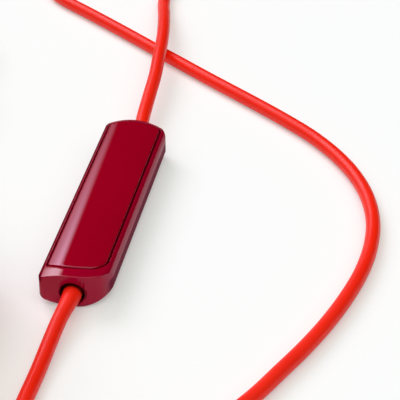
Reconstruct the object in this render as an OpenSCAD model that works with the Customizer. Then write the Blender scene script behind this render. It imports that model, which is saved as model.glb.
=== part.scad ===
// Wired in-ear earphones with an in-line push-button remote, laid out flat with the spare cord wound up.
// Origin: the middle of the flat under the remote. X across the remote, Y along it, Z up.

/* [Remote housing] */
// Length of the remote
remote_l = 40.4; // [38:0.1:46]
// Width of the remote
remote_w = 9.4; // [8.8:0.1:12]
// Height of the crowned top's highest line above the surface
top_h = 5.15; // [5.1:0.05:7]
// Radius of the crowned top, across the remote
crown_r = 14.3; // [12:0.1:40]
// Depth of the curved underside below the straight side walls
belly_drop = 0.95; // [0.8:0.05:1.5]
// Width of the flat that the remote stands on
foot_w = 2; // [1:0.5:4]
// Height of the joint between the two housing halves
seam_h = 1.9; // [1.8:0.1:2.4]
// Plan radius of the three crisp corners
crisp_r = 0.9; // [0.7:0.1:2]
// Plan radius of the round corner, at the near end on the right
round_r = 4.4; // [2:0.1:4.4]
// How far the far end falls back from its foremost point to half a width beside it
far_bow = 0.95; // [0:0.05:1.2]
// Place of that foremost point across the remote
bow_x = -0.6; // [-1:0.1:0]
// Radius of the top's left edge
edge_r = 0.25; // [0.15:0.05:0.5]
// Radius of the top's right edge
right_edge_r = 1.2; // [0.5:0.1:1.4]
// Thickness of the underside wall
base_t = 0.7; // [0.5:0.05:0.8]
// Thickness of the side walls below the button
side_t = 1.3; // [1.1:0.1:1.6]
// Length of the solid block at each end of the housing
end_block_l = 4.9; // [4.4:0.1:6]
// Recess that the cord enters through at the near end
entry_d = 3.6; // [3.2:0.1:3.7]
// Bore that the cord enters through at the far end
far_entry_d = 2.6; // [2.5:0.05:2.65]
// Depth of the recess and of that bore
entry_depth = 1.4; // [1:0.1:1.5]
// Narrower bore behind it, which holds the cord anchor
anchor_bore_d = 2.4; // [2.2:0.1:2.5]
// Height of the cord through the remote
entry_h = 2.35; // [2.3:0.05:2.35]

/* [Remote button] */
// Rim on the left of the button
rim_left = 0.5; // [0.45:0.05:0.6]
// Rim on the right of the button
rim_right = 0.75; // [0.5:0.05:1]
// Rim at the near end of the button
rim_near = 1.85; // [1.85:0.05:3.5]
// Rim at the far end of the button
rim_far = 0.65; // [0.6:0.05:2]
// How far the button's near end falls back from its foremost point to half a width beside it
button_bow = 1.25; // [0:0.05:1.4]
// Plan radius of the button's three crisp corners
button_crisp_r = 0.45; // [0.3:0.05:1]
// Plan radius of the button's round corner
button_round_r = 2; // [1.5:0.1:3]
// Running gap round the button
button_gap = 0.2; // [0.15:0.01:0.25]
// Thickness of the button along its middle
button_t = 1; // [0.95:0.05:1]
// How far the button travels
button_travel = 0.3; // [0.2:0.05:0.35]

/* [Remote inside] */
// Circuit board thickness
board_t = 0.6; // [0.4:0.1:0.6]
// Circuit board width
board_w = 5.6; // [5:0.1:6]
// Circuit board length
board_l = 24; // [20:1:26]
// Height of the board's underside
board_h = 1.5; // [1.5:0.05:1.6]
// Width of the switch body along the remote
switch_l = 3.4; // [3:0.1:4]
// Width of the switch body across the remote
switch_w = 3; // [2.6:0.1:4]
// Height of the switch body
switch_t = 0.95; // [0.9:0.05:1]
// Diameter of the switch plunger
plunger_d = 1.4; // [1:0.1:1.8]
// Length of the plunger that shows above the switch
plunger_reach = 0.45; // [0.4:0.05:0.5]
// Diameter of the boss under the button
boss_d = 2.6; // [2:0.1:3]
// Microphone length along the remote
mic_l = 3; // [2.4:0.1:4]
// Microphone width
mic_w = 2.2; // [1.6:0.1:3]
// Microphone height
mic_t = 0.9; // [0.6:0.1:1]
// Distance of the microphone from the middle of the remote
mic_y = -8; // [-9:0.5:-4]
// Sound hole below the microphone
mic_hole_d = 0.8; // [0.5:0.1:1]
// Diameter of the posts that carry the board
post_d = 1.6; // [1.2:0.1:2]
// Distance of each post from the middle of the remote
post_y = 10; // [9.5:0.5:10.5]

/* [Cord] */
// Cord diameter
cord_d = 2.1; // [1.8:0.1:2.2]
// Gap between a cord and the bore that it enters
cord_gap = 0.15; // [0.1:0.05:0.3]

/* [Coils] */
// Gap between neighbouring turns
turn_gap = 0.5; // [0.45:0.05:0.7]
// Radius of the right branch coil's outermost turn, at the cord's middle
right_coil_r = 12.7; // [12:0.1:13]
// Radius of the left branch coil's outermost turn, at the cord's middle
left_coil_r = 12.7; // [12:0.1:13]
// Turns in each of a branch coil's two layers
branch_turns = 1; // [1:1:2]
// Radius of the outermost turn of the main coil, at the cord's middle
main_coil_r = 13.2; // [12.8:0.1:13.4]
// Layers in the main coil
main_layers = 6; // [4:2:6]
// Turns in the main coil
main_turns = 11; // [6:1:12]
// Thickness of the ties
tie_t = 0.4; // [0.3:0.05:0.6]
// Width of the ties
tie_w = 4; // [3:0.5:6]
// Gap between a tie and the turns that it holds
tie_gap = 0.3; // [0.25:0.05:0.5]

/* [Splitter] */
// Splitter length
splitter_l = 16; // [14:0.5:20]
// Splitter width
splitter_w = 9; // [8:0.1:11]
// Splitter height
splitter_h = 5.6; // [5.2:0.1:6.4]
// Plan radius of the splitter's corners
splitter_r = 2.6; // [1:0.1:3.5]
// Drop of the splitter's faces from the middle to the sides
splitter_crown = 0.9; // [0.4:0.1:1.2]
// Wall of the splitter
splitter_t = 0.9; // [0.7:0.1:1.1]
// Distance between the two branch cords where they enter
branch_pitch = 3.2; // [3:0.1:3.6]
// Depth of each cord socket
socket_depth = 2; // [1:0.1:2.5]
// Length of the splitter's strain relief
splitter_boot_l = 6; // [4:0.5:8]
// Diameter of the strain relief at the splitter
splitter_boot_d = 4.6; // [4:0.1:5]

/* [Plug] */
// Diameter of the grip
grip_d = 7.6; // [6.6:0.1:8.4]
// Length of the grip
grip_l = 18; // [14:0.5:20]
// Depth of the finger grooves
grip_groove = 0.3; // [0.1:0.05:0.5]
// Number of finger grooves
grip_grooves = 5; // [3:1:7]
// Length of the plug's strain relief
plug_boot_l = 10; // [7:0.5:12]
// Diameter of the strain relief at the grip
plug_boot_d = 4.8; // [4:0.1:5.6]
// Diameter of the metal collar
collar_d = 6.2; // [5.6:0.1:6.6]
// Length of the metal collar
collar_l = 1.5; // [1:0.1:2.5]
// Diameter of the contacts
jack_d = 3.5; // [3.5:0.1:3.5]
// Length of the contacts from the collar to the tip
jack_l = 14; // [14:0.1:14]
// Length of each ring contact
jack_ring_l = 2.2; // [2:0.1:2.6]
// Width of each insulating band
jack_band_l = 0.6; // [0.4:0.1:0.8]
// Length of the tip contact
jack_tip_l = 3.2; // [3:0.1:3.8]
// Diameter of the insulating core
jack_core_d = 1.5; // [1.2:0.1:1.8]

/* [Earbud housing] */
// Diameter of the housing
bud_d = 11.2; // [10.4:0.1:11.6]
// Depth of the back shell
bud_back_l = 5.4; // [5:0.1:7]
// Radius of the back shell's rounded edge
bud_edge_r = 2; // [1:0.1:2.5]
// Width of the trim ring
trim_w = 0.8; // [0.5:0.1:1.2]
// How far the trim ring stands proud
trim_rise = 0.12; // [0.05:0.01:0.2]
// Straight part of the front shell
front_l = 1.4; // [1:0.1:2]
// Length of the cone from the front shell to the nozzle
cone_l = 2.8; // [2:0.1:4]
// Wall of the shells
bud_t = 0.9; // [0.7:0.1:1.2]
// Diameter of the nozzle
nozzle_d = 5; // [4.6:0.1:5.4]
// Length of the nozzle
nozzle_l = 4.6; // [4:0.1:6]
// Bore of the nozzle
nozzle_bore_d = 3.2; // [2.6:0.1:3.4]
// How far the ridge that keeps the ear tip stands out
ridge_rise = 0.2; // [0.1:0.05:0.25]
// Length of the ridge
ridge_l = 0.9; // [0.6:0.1:1.2]
// Height of each earbud's middle above the surface
bud_h = 6.05; // [6.05:0.05:6.4]
// How steeply each earbud's cord relief points down
bud_slope = 14; // [12:1:16]
// Diameter of the stem that carries the cord relief
stem_d = 4.6; // [4:0.1:4.8]
// Reach of the stem from the middle of the earbud
stem_reach = 7.2; // [6.8:0.1:8]
// Length of the earbud's cord relief
bud_boot_l = 10; // [8:0.5:12]
// Diameter of the cord relief at the stem
bud_boot_d = 4.2; // [3.6:0.1:4.6]

/* [Ear tip] */
// Diameter of the ear tip
tip_d = 12; // [11:0.1:12]
// Length of the ear tip
tip_l = 7; // [6.4:0.1:8]
// Thickness of the ear tip's dome and skirt
tip_t = 0.7; // [0.5:0.05:0.9]
// Wall of the ear tip's inner sleeve
sleeve_t = 0.8; // [0.6:0.05:1]
// Sound opening of the ear tip
tip_bore_d = 4; // [3:0.1:4.4]
// Gap between the ear tip's sleeve and the nozzle's ridge
tip_gap = 0.05; // [0.03:0.01:0.1]

/* [Driver] */
// Driver diameter
driver_d = 9; // [8:0.1:9.2]
// Driver frame depth
driver_l = 2; // [1.5:0.1:2.4]
// Magnet diameter
magnet_d = 6; // [5:0.1:7]
// Magnet thickness
magnet_l = 1.4; // [1:0.1:1.8]
// Diaphragm thickness
diaphragm_t = 0.25; // [0.15:0.05:0.3]
// Thickness of the nozzle's mesh
mesh_t = 0.3; // [0.2:0.05:0.5]
// Depth of the mesh behind the nozzle's mouth
mesh_inset = 0.3; // [0.2:0.05:0.6]

/* [Hidden] */

gloss_crimson = "#9a0220";
cord_red = "#f02a12";
dark_plastic = "#2a0a10";
board_green = "#1d5b3a";
metal = "#c9ccd0";
gold = "#d9b25c";
black = "#1c1c1e";
tip_grey = "#e6dfdc";

eps = 0.01;
$fn = 64;
arc_steps = 10;
end_steps = 8;
crown_steps = 16;

// ---------- Remote: levels and outlines ----------
half_l = remote_l / 2;
half_w = remote_w / 2;
// Radius of the underside, from its chord and its depth, and how far the foot flat cuts it
belly_r = (half_w * half_w + belly_drop * belly_drop) / (2 * belly_drop);
foot_cut = belly_r - sqrt(belly_r * belly_r - foot_w * foot_w / 4);
window_x0 = -half_w + rim_left;
window_x1 = half_w - rim_right;
button_base_h = top_h - button_t;
shelf_clearance = 0.05;
shelf_h = button_base_h - button_travel - shelf_clearance;
cavity_half_w = half_w - side_t;
cavity_half_l = half_l - end_block_l;
board_top = board_h + board_t;
switch_top = board_top + switch_t;
plunger_top = switch_top + plunger_reach;
plunger_gap = 0.1;
plunger_root = switch_top - button_travel - plunger_gap;
anchor_y = half_l - entry_depth;
anchor_gap = 0.05;

function sweep(centre, r, from, to) = [
    for (i = [0 : arc_steps]) let (a = from + (to - from) * i / arc_steps) centre + r * [cos(a), sin(a)]
];

function between(a, b) = [for (i = [1 : end_steps - 1]) a + (b - a) * i / end_steps];

// Rounded rectangle. Its radii are far right, far left, near left and near right, and its ends can be bowed.
function outline(x0, x1, near_l, far_l, radii, near_bow, far_bow) =
    let (
        far_right = sweep([x1 - radii[0], far_l - radii[0]], radii[0], 0, 90),
        far_left = sweep([x0 + radii[1], far_l - radii[1]], radii[1], 90, 180),
        near_left = sweep([x0 + radii[2], radii[2] - near_l], radii[2], 180, 270),
        near_right = sweep([x1 - radii[3], radii[3] - near_l], radii[3], 270, 360),
        plain = concat(far_right, between(far_right[arc_steps], far_left[0]), far_left, near_left,
            between(near_left[arc_steps], near_right[0]), near_right)
    )
    [for (p = plain) [p[0], p[1] + (p[1] > 0 ? -far_bow : near_bow) * pow((p[0] - bow_x) / half_w, 2)]];

remote_outline = outline(-half_w, half_w, half_l, half_l, [crisp_r, crisp_r, crisp_r, round_r], 0, far_bow);

// Outline of the button, or of its window for no inset
function button_outline(inset) = outline(window_x0 + inset, window_x1 - inset, half_l - rim_near - inset,
    half_l - rim_far - inset, [button_crisp_r, button_crisp_r, button_crisp_r, button_round_r],
    button_bow, far_bow);

// A top edge of radius r: the height of its middle, and the tilt where it runs into the crown
function edge_mid_h(r) = top_h - crown_r + sqrt(pow(crown_r - r, 2) - pow(half_w - r, 2));
function edge_tilt(r) = asin((half_w - r) / (crown_r - r));

crown_from = 90 - edge_tilt(right_edge_r);
crown_to = 90 + edge_tilt(edge_r);
top_section = concat(
    [[half_w, 0]],
    sweep([half_w - right_edge_r, edge_mid_h(right_edge_r)], right_edge_r, 0, crown_from),
    [for (i = [1 : crown_steps - 1]) let (a = crown_from + (crown_to - crown_from) * i / crown_steps)
        [crown_r * cos(a), top_h - crown_r + crown_r * sin(a)]],
    sweep([edge_r - half_w, edge_mid_h(edge_r)], edge_r, crown_to, 180),
    [[-half_w, 0]]
);

// Everything below the crowned top
module below_top() {
    rotate([90, 0, 0]) linear_extrude(2 * remote_l, center = true) polygon(top_section);
}

module along_y(y, x, z, length, d) {
    translate([x, y, z]) rotate([-90, 0, 0]) cylinder(h = length, d = d);
}

module entry_bores() {
    along_y(anchor_y, 0, entry_h, entry_depth + eps, far_entry_d);
    along_y(-half_l - eps, 0, entry_h, entry_depth + eps, entry_d);
    for (side = [0, 1]) mirror([0, side, 0])
        along_y(cavity_half_l - eps, 0, entry_h, end_block_l, anchor_bore_d);
}

module block(x0, x1, y0, y1, z0, z1) {
    translate([x0, y0, z0]) cube([x1 - x0, y1 - y0, z1 - z0]);
}

module remote_cavity(z0, z1) {
    block(-cavity_half_w, cavity_half_w, -cavity_half_l, cavity_half_l, z0, z1);
}

module remote_upper_shell() {
    color(gloss_crimson) difference() {
        intersection() {
            translate([0, 0, seam_h]) linear_extrude(top_h) polygon(remote_outline);
            below_top();
        }
        translate([0, 0, shelf_h]) linear_extrude(top_h) polygon(button_outline(0));
        remote_cavity(seam_h - eps, shelf_h + eps);
        entry_bores();
    }
}

module belly(r, length) {
    translate([0, 0, belly_r - foot_cut]) rotate([90, 0, 0])
        cylinder(h = length, r = r, center = true, $fn = 128);
}

module remote_lower_shell() {
    color(gloss_crimson) difference() {
        intersection() {
            linear_extrude(seam_h) polygon(remote_outline);
            belly(belly_r, 2 * remote_l);
        }
        difference() {
            intersection() {
                remote_cavity(0, seam_h + eps);
                belly(belly_r - base_t, remote_l);
            }
            for (side = [-1, 1]) translate([0, side * post_y, 0]) cylinder(h = board_h, d = post_d);
        }
        entry_bores();
        translate([0, mic_y, -eps]) cylinder(h = seam_h, d = mic_hole_d);
    }
}

module button_plate() {
    color(gloss_crimson) union() {
        intersection() {
            translate([0, 0, button_base_h]) linear_extrude(top_h) polygon(button_outline(button_gap));
            below_top();
        }
        translate([0, 0, plunger_top]) cylinder(h = button_base_h - plunger_top + eps, d = boss_d);
    }
}

module switch_plunger() {
    color(black) translate([0, 0, plunger_root])
        cylinder(h = plunger_top - plunger_root, d = plunger_d);
}

module switch_body() {
    well_h = plunger_root - button_travel - shelf_clearance;
    color(metal) difference() {
        block(-switch_w / 2, switch_w / 2, -switch_l / 2, switch_l / 2, board_top, switch_top);
        translate([0, 0, well_h]) cylinder(h = switch_t, d = plunger_d + 2 * plunger_gap);
    }
}

module remote_board() {
    color(board_green) difference() {
        block(-board_w / 2, board_w / 2, -board_l / 2, board_l / 2, board_h, board_top);
        translate([0, mic_y, board_h - eps]) cylinder(h = board_t + 2 * eps, d = mic_hole_d);
    }
}

module microphone() {
    color(metal) block(-mic_w / 2, mic_w / 2, mic_y - mic_l / 2, mic_y + mic_l / 2, board_top,
        board_top + mic_t);
}

module cord_anchor(side) {
    length = anchor_y - cavity_half_l;
    color(dark_plastic) along_y(side > 0 ? cavity_half_l : -anchor_y, 0, entry_h, length,
        anchor_bore_d - 2 * anchor_gap);
}

module cord_anchor_near() {
    cord_anchor(-1);
}

module cord_anchor_far() {
    cord_anchor(1);
}

// ---------- Cords ----------
cord_r = cord_d / 2;
cord_sides = 8;
coil_sides = 6;
rings_per_turn = 24;
turn_pitch = cord_d + turn_gap;
tie_float = 0.1;
coil_base = tie_t + tie_float;
coil_low = coil_base + cord_r;
run_l = cord_d;

function unit(v) = v / norm(v);

// Direction of a route at each point: the ends can be given, so that they sit square to what they meet
function heading(p, i, first, last) =
    i == 0 ? unit(first) :
    i == len(p) - 1 ? unit(last) :
    unit(unit(p[i + 1] - p[i]) + unit(p[i] - p[i - 1]));

function tube_ring(centre, t, sides) =
    let (s = unit(cross(t, [0, 0, 1])), u = cross(s, t))
    [for (k = [0 : sides - 1]) let (a = 360 * (k + 0.5) / sides) centre + cord_r * (cos(a) * s + sin(a) * u)];

module tube(p, first, last, sides) {
    end = len(p) - 1;
    polyhedron(
        points = [for (i = [0 : end]) each tube_ring(p[i], heading(p, i, first, last), sides)],
        faces = concat(
            [for (k = [1 : sides - 2]) [0, k + 1, k]],
            [for (i = [0 : end - 1]) for (k = [0 : sides - 1]) let (n = (k + 1) % sides)
                each [
                    [i * sides + k, i * sides + n, (i + 1) * sides + n],
                    [i * sides + k, (i + 1) * sides + n, (i + 1) * sides + k]
                ]],
            [for (k = [1 : sides - 2]) [end * sides, end * sides + k, end * sides + k + 1]]
        )
    );
}

function route_length(p) = len(p) < 2 ? 0 : norm([for (i = [0 : 2]) p[1][i] - p[0][i]]) +
    route_length([for (i = [1 : 1 : len(p) - 1]) p[i]]);

// Where a wound coil's middle line is after a number of turns. Odd layers spiral in and even ones out,
// and each climb takes the half turn in which the spiral reverses.
function coil_radius(outer, per_layer, t) =
    let (layer = floor(t / per_layer - eps * eps), f = t - layer * per_layer)
    layer % 2 == 0 ? outer - turn_pitch * f : outer - turn_pitch * (per_layer - f);

function climb(x) = x <= 0 ? 0 : x >= 1 ? 1 : x * x * (3 - 2 * x);

function coil_height(layers, per_layer, t) = coil_low + turn_pitch *
    (layers < 2 ? 0 : climb_sum([for (k = [1 : layers - 1]) climb((t - k * per_layer) * 2 + 0.5)]));

function climb_sum(v, i = 0) = i == len(v) ? 0 : v[i] + climb_sum(v, i + 1);

function coil_route(centre, outer, start, spin, layers, per_layer) = [
    for (i = [0 : round(layers * per_layer * rings_per_turn)])
        let (t = i / rings_per_turn, a = start + spin * 360 * t, r = coil_radius(outer, per_layer, t))
        [centre[0] + r * cos(a), centre[1] + r * sin(a), coil_height(layers, per_layer, t)]
];

// Least distance between turns at least a third of a turn apart, less the cord itself
function coil_gap(p) = min([
    for (i = [0 : 2 : len(p) - 1]) for (j = [i + rings_per_turn / 3 : 1 : len(p) - 1]) norm(p[i] - p[j])
]) - cord_d;

function with_runs(p, first, last) = concat(
    [p[0] - run_l * first], p, [p[len(p) - 1] + run_l * last]
);

to_plus_y = [0, 1, 0];
to_minus_y = [0, -1, 0];
to_minus_x = [-1, 0, 0];

// ---------- Earbud places ----------
left_bud_at = [-24.5, 95.5, bud_h];
right_bud_at = [1, 95.5, bud_h];
left_bud_turn = 0;
right_bud_turn = 90;
stem_setback = 0.3;
stem_x = -stem_d / 2 - stem_setback;
boot_reach = stem_reach + bud_boot_l;

// A direction given in an earbud's own axes, in the part's axes
function bud_turned(v, turn) =
    let (y = v[1] * cos(bud_slope) - v[2] * sin(bud_slope), z = v[1] * sin(bud_slope) + v[2] * cos(bud_slope))
    [v[0] * cos(turn) - y * sin(turn), v[0] * sin(turn) + y * cos(turn), z];

left_exit = left_bud_at + bud_turned([stem_x, -boot_reach, 0], left_bud_turn);
left_exit_way = bud_turned(to_minus_y, left_bud_turn);
right_exit = right_bud_at + bud_turned([stem_x, -boot_reach, 0], right_bud_turn);
right_exit_way = bud_turned(to_minus_y, right_bud_turn);

// ---------- Coil places ----------
right_coil_x = -0.75;
right_coil_y = -55;
left_coil_x = 11.7;
left_coil_y = -62;
branch_layers = 2;
right_coil_centre = [right_coil_x - right_coil_r, right_coil_y];
left_coil_centre = [left_coil_x + left_coil_r, left_coil_y];
main_coil_x = -37.45;
main_coil_y = -27;
main_coil_centre = [main_coil_x + main_coil_r, main_coil_y];
main_per_layer = main_turns / main_layers;

right_coil_route = coil_route(right_coil_centre, right_coil_r, 0, -1, branch_layers, branch_turns);
left_coil_route = coil_route(left_coil_centre, left_coil_r, 180, 1, branch_layers, branch_turns);
main_coil_route = coil_route(main_coil_centre, main_coil_r, 180, -1, main_layers, main_per_layer);
right_coil_run = with_runs(right_coil_route, to_minus_y, to_minus_y);
left_coil_run = with_runs(left_coil_route, to_minus_y, to_minus_y);
main_coil_run = with_runs(main_coil_route, to_plus_y, to_plus_y);

// ---------- Splitter and plug places ----------
// The splitter lies along X, with the branches entering at its right end
splitter_at = [-9, -74.1];
splitter_turn = -90;
splitter_mid_h = splitter_h / 2;
splitter_out_x = splitter_at[0] - splitter_l - splitter_boot_l;
right_socket = [splitter_at[0] - socket_depth, splitter_at[1] + branch_pitch / 2, splitter_mid_h];
left_socket = [splitter_at[0] - socket_depth, splitter_at[1] - branch_pitch / 2, splitter_mid_h];
plug_x = -34.6;
plug_h = grip_d / 2;
plug_boot_y = 4;

// ---------- Routes, in millimetres ----------
right_upper_route = concat([
    [0, anchor_y, entry_h],
    [0, 21.5, 2.4], [-0.35, 26, 2.6], [-0.65, 31.5, 2.9], [-0.95, 37.2, 3.2], [-1.55, 42.9, 3.4],
    [-2.15, 48.5, 3.4], [-3.05, 54, 3], [-4.15, 59.5, 2.3], [-5.35, 65, 1.4], [-6.05, 70.5, 1.1],
    [-5.45, 75, 1.1], [-2.8, 78.6, 1.1], [1.5, 80, 1.1], [8, 80, 1.1], [15, 80, 1.1], [20.8, 80.05, 1.1],
    [24.9, 81, 1.1], [27.5, 83.5, 1.1], [28.3, 86.5, 1.1], [27.4, 89.6, 1.1], [24.9, 92, 1.1]],
    [right_exit + 3 * right_exit_way, right_exit]
);
right_lower_route = [
    [0, -anchor_y, entry_h],
    [0, -21.5, 2.3], [-0.35, -25.5, 2], [-0.55, -30, 1.5], [-0.65, -35, 1.1], [-0.75, -40.5, 1.1],
    [-0.75, -45, 1.1], [-0.75, -49.5, 1.3], right_coil_run[0]
];
right_tail_route = [
    right_coil_run[len(right_coil_run) - 1],
    [-0.75, -61.4, 3.8], [-0.95, -65.5, 3.4], [-2.5, -69.3, 3], [-5.6, -71.9, 2.8], right_socket
];
left_upper_route = concat(
    [left_exit, left_exit + 3 * left_exit_way], [
    [-27.1, 72.6, 1.1], [-26.8, 70, 1.1], [-26, 67.6, 1.1], [-24.7, 65.4, 1.1],
    [-22.75, 63.6, 1.1], [-17.75, 60, 1.1],
    [-12.85, 56.4, 1.1], [-7.95, 52.7, 1.1], [-3.15, 49, 1.1], [1.75, 45.3, 1.1], [6.65, 41.6, 1.1],
    [11.55, 38, 1.1], [16.45, 34.4, 1.1], [21.25, 30.7, 1.1], [25.95, 26.7, 1.1], [30.05, 22.2, 1.1],
    [33.45, 17.2, 1.1], [35.95, 11.6, 1.1], [37.35, 5.7, 1.1], [37.65, -0.4, 1.1], [37.05, -6.5, 1.1],
    [35.75, -12.4, 1.1], [33.95, -18.3, 1.1], [31.75, -24, 1.1], [29.25, -29.5, 1.1], [26.65, -35, 1.1],
    [23.7, -40, 1.1], [20.5, -44.7, 1.1], [17.2, -49.1, 1.1], [14.1, -53.3, 1.2], [12.2, -57, 1.4],
    left_coil_run[0]]
);
left_tail_route = [
    left_coil_run[len(left_coil_run) - 1],
    [11.4, -68.4, 3.7], [9.5, -72.2, 3.2], [6.2, -74.8, 2.9], [2, -75.7, 2.8], [-4, -75.7, 2.8],
    left_socket
];
main_lead_route = [
    [splitter_out_x, splitter_at[1], splitter_mid_h],
    [-33.5, -73.6, 2.5], [-35.6, -72.2, 2.1], [-37, -70.1, 1.7], [-37.45, -67.6, 1.4], [-37.45, -62, 1.1],
    [-37.45, -55, 1.1], [-37.45, -48, 1.1], [-37.45, -41, 1.1], [-37.45, -35, 1.2], [-37.45, -31.8, 1.4],
    main_coil_run[0]
];
main_tail_route = [
    main_coil_run[len(main_coil_run) - 1],
    [-37.35, -20.5, 14.2], [-37.1, -16, 12.8], [-36.6, -11.5, 10.7], [-35.8, -7, 8.3], [-35, -2.8, 6],
    [-34.65, 0.6, 4.4], [plug_x, plug_boot_y, plug_h]
];

echo(coil_gaps = [coil_gap(right_coil_route), coil_gap(left_coil_route), coil_gap(main_coil_route)]);
echo(right_branch = [route_length(right_upper_route), route_length(right_lower_route),
    route_length(right_coil_run), route_length(right_tail_route)]);
echo(left_branch = [route_length(left_upper_route), route_length(left_coil_run),
    route_length(left_tail_route)]);
echo(main_cord = [route_length(main_lead_route), route_length(main_coil_run),
    route_length(main_tail_route)]);

module right_cord_upper() {
    color(cord_red) tube(right_upper_route, to_plus_y, -right_exit_way, cord_sides);
}

module right_cord_lower() {
    color(cord_red) tube(right_lower_route, to_minus_y, to_minus_y, cord_sides);
}

module right_coil() {
    color(cord_red) tube(right_coil_run, to_minus_y, to_minus_y, coil_sides);
}

module right_cord_tail() {
    color(cord_red) tube(right_tail_route, to_minus_y, to_minus_x, cord_sides);
}

module left_cord_upper() {
    color(cord_red) tube(left_upper_route, left_exit_way, to_minus_y, cord_sides);
}

module left_coil() {
    color(cord_red) tube(left_coil_run, to_minus_y, to_minus_y, coil_sides);
}

module left_cord_tail() {
    color(cord_red) tube(left_tail_route, to_minus_y, to_minus_x, cord_sides);
}

module main_cord_lead() {
    color(cord_red) tube(main_lead_route, to_minus_x, to_plus_y, cord_sides);
}

module main_coil() {
    color(cord_red) tube(main_coil_run, to_plus_y, to_plus_y, coil_sides);
}

module main_cord_tail() {
    color(cord_red) tube(main_tail_route, to_plus_y, to_plus_y, cord_sides);
}

// A band round the bundle of turns, standing on the surface
module coil_tie(centre, outer, per_layer, layers, angle) {
    inner = outer - turn_pitch * per_layer - cord_r - tie_gap;
    out = outer + cord_r + tie_gap;
    low = tie_t;
    high = coil_low + (layers - 1) * turn_pitch + cord_r + tie_gap;
    color(black) translate([centre[0], centre[1], 0]) rotate([0, 0, angle]) difference() {
        block(inner - tie_t, out + tie_t, -tie_w / 2, tie_w / 2, low - tie_t, high + tie_t);
        block(inner, out, -tie_w, tie_w, low, high);
    }
}

module right_coil_tie() {
    coil_tie(right_coil_centre, right_coil_r, branch_turns, branch_layers, 180);
}

module left_coil_tie() {
    coil_tie(left_coil_centre, left_coil_r, branch_turns, branch_layers, 0);
}

module main_coil_tie() {
    coil_tie(main_coil_centre, main_coil_r, main_per_layer, main_layers, 60);
}

// ---------- Strain reliefs ----------
// Outline of a tapered relief with grooves, from its thick end at 0 to its thin end
relief_end_wall = 0.45;
relief_end_d = cord_d + 2 * relief_end_wall;
relief_grooves = 3;
groove_depth = 0.25;

function relief_outline(d, length) =
    let (step = length / (2 * relief_grooves + 1))
    concat(
        [[0, 0]],
        [for (i = [0 : 2 * relief_grooves + 1])
            let (r = (d + (relief_end_d - d) * i / (2 * relief_grooves + 1)) / 2)
            each (i % 2 == 0 ? [[r, i * step]] : [[r, i * step - step / 4], [r - groove_depth, i * step]])],
        [[0, length]]
    );

module relief(d, length) {
    rotate_extrude() polygon(relief_outline(d, length));
}

// ---------- Splitter ----------
splitter_face_r = (splitter_w * splitter_w / 4 + splitter_crown * splitter_crown) / (2 * splitter_crown);

// Everything of the splitter is made from its branch end towards -Y, and then put in place
module in_splitter() {
    translate([splitter_at[0], splitter_at[1], 0]) rotate([0, 0, splitter_turn]) children();
}

module splitter_blank() {
    half = splitter_w / 2;
    radii = [splitter_r, splitter_r, splitter_r, splitter_r];
    translate([0, -splitter_l / 2, 0]) intersection() {
        linear_extrude(splitter_h) polygon(outline(-half, half, splitter_l / 2, splitter_l / 2, radii, 0, 0));
        splitter_face(splitter_face_r);
        splitter_face(splitter_h - splitter_face_r);
    }
}

module splitter_face(z) {
    translate([0, 0, z]) rotate([90, 0, 0])
        cylinder(h = 2 * splitter_l, r = splitter_face_r, center = true, $fn = 128);
}

module splitter_sockets() {
    for (side = [-1, 1])
        along_y(-socket_depth, side * branch_pitch / 2, splitter_mid_h, socket_depth + eps,
            cord_d + 2 * cord_gap);
}

module splitter_shell(z0, z1) {
    color(gloss_crimson) in_splitter() difference() {
        intersection() {
            splitter_blank();
            block(-splitter_w, splitter_w, -splitter_l - eps, eps, z0, z1);
        }
        splitter_core_form();
        splitter_sockets();
    }
}

splitter_side_t = 1.6;
splitter_core_half_h = 1.5;

module splitter_core_form() {
    reach = splitter_w / 2 - splitter_side_t;
    block(-reach, reach, splitter_t - splitter_l, -socket_depth,
        splitter_mid_h - splitter_core_half_h, splitter_mid_h + splitter_core_half_h);
}

module splitter_upper_shell() {
    splitter_shell(splitter_mid_h, splitter_h);
}

module splitter_lower_shell() {
    splitter_shell(0, splitter_mid_h);
}

module splitter_core() {
    color(dark_plastic) in_splitter() splitter_core_form();
}

module splitter_boot() {
    color(dark_plastic) in_splitter() translate([0, -splitter_l, splitter_mid_h]) rotate([90, 0, 0])
        relief(splitter_boot_d, splitter_boot_l);
}

// ---------- Plug ----------
grip_y = plug_boot_y + plug_boot_l;
collar_y = grip_y + grip_l;
jack_y = collar_y + collar_l;
core_gap = 0.05;
jack_sleeve_l = jack_l - jack_tip_l - 2 * jack_ring_l - 3 * jack_band_l;

module on_plug(y) {
    translate([plug_x, y, plug_h]) rotate([-90, 0, 0]) children();
}

module plug_boot() {
    color(dark_plastic) on_plug(grip_y) rotate([180, 0, 0]) relief(plug_boot_d, plug_boot_l);
}

grip_end_r = 1;

function grip_outline() =
    let (r = grip_d / 2, pitch = (grip_l - 4 * grip_end_r) / grip_grooves)
    concat(
        [[0, 0]],
        [for (i = [0 : arc_steps]) let (a = 90 * i / arc_steps)
            [r - grip_end_r + grip_end_r * sin(a), grip_end_r - grip_end_r * cos(a)]],
        [for (i = [0 : grip_grooves - 1]) let (y = 2 * grip_end_r + pitch * i)
            each [[r, y], [r - grip_groove, y + pitch / 4], [r - grip_groove, y + pitch / 2], [r, y + pitch * 3 / 4]]],
        [for (i = [0 : arc_steps]) let (a = 90 * i / arc_steps)
            [r - grip_end_r + grip_end_r * cos(a), grip_l - grip_end_r + grip_end_r * sin(a)]],
        [[0, grip_l]]
    );

module plug_grip() {
    color(gloss_crimson) on_plug(grip_y) rotate_extrude() polygon(grip_outline());
}

module plug_collar() {
    color(metal) on_plug(collar_y) cylinder(h = collar_l, d = collar_d);
}

module jack_tube(y, length) {
    color(gold) on_plug(y) difference() {
        cylinder(h = length, d = jack_d);
        translate([0, 0, -eps]) cylinder(h = length + 2 * eps, d = jack_core_d + 2 * core_gap);
    }
}

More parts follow.
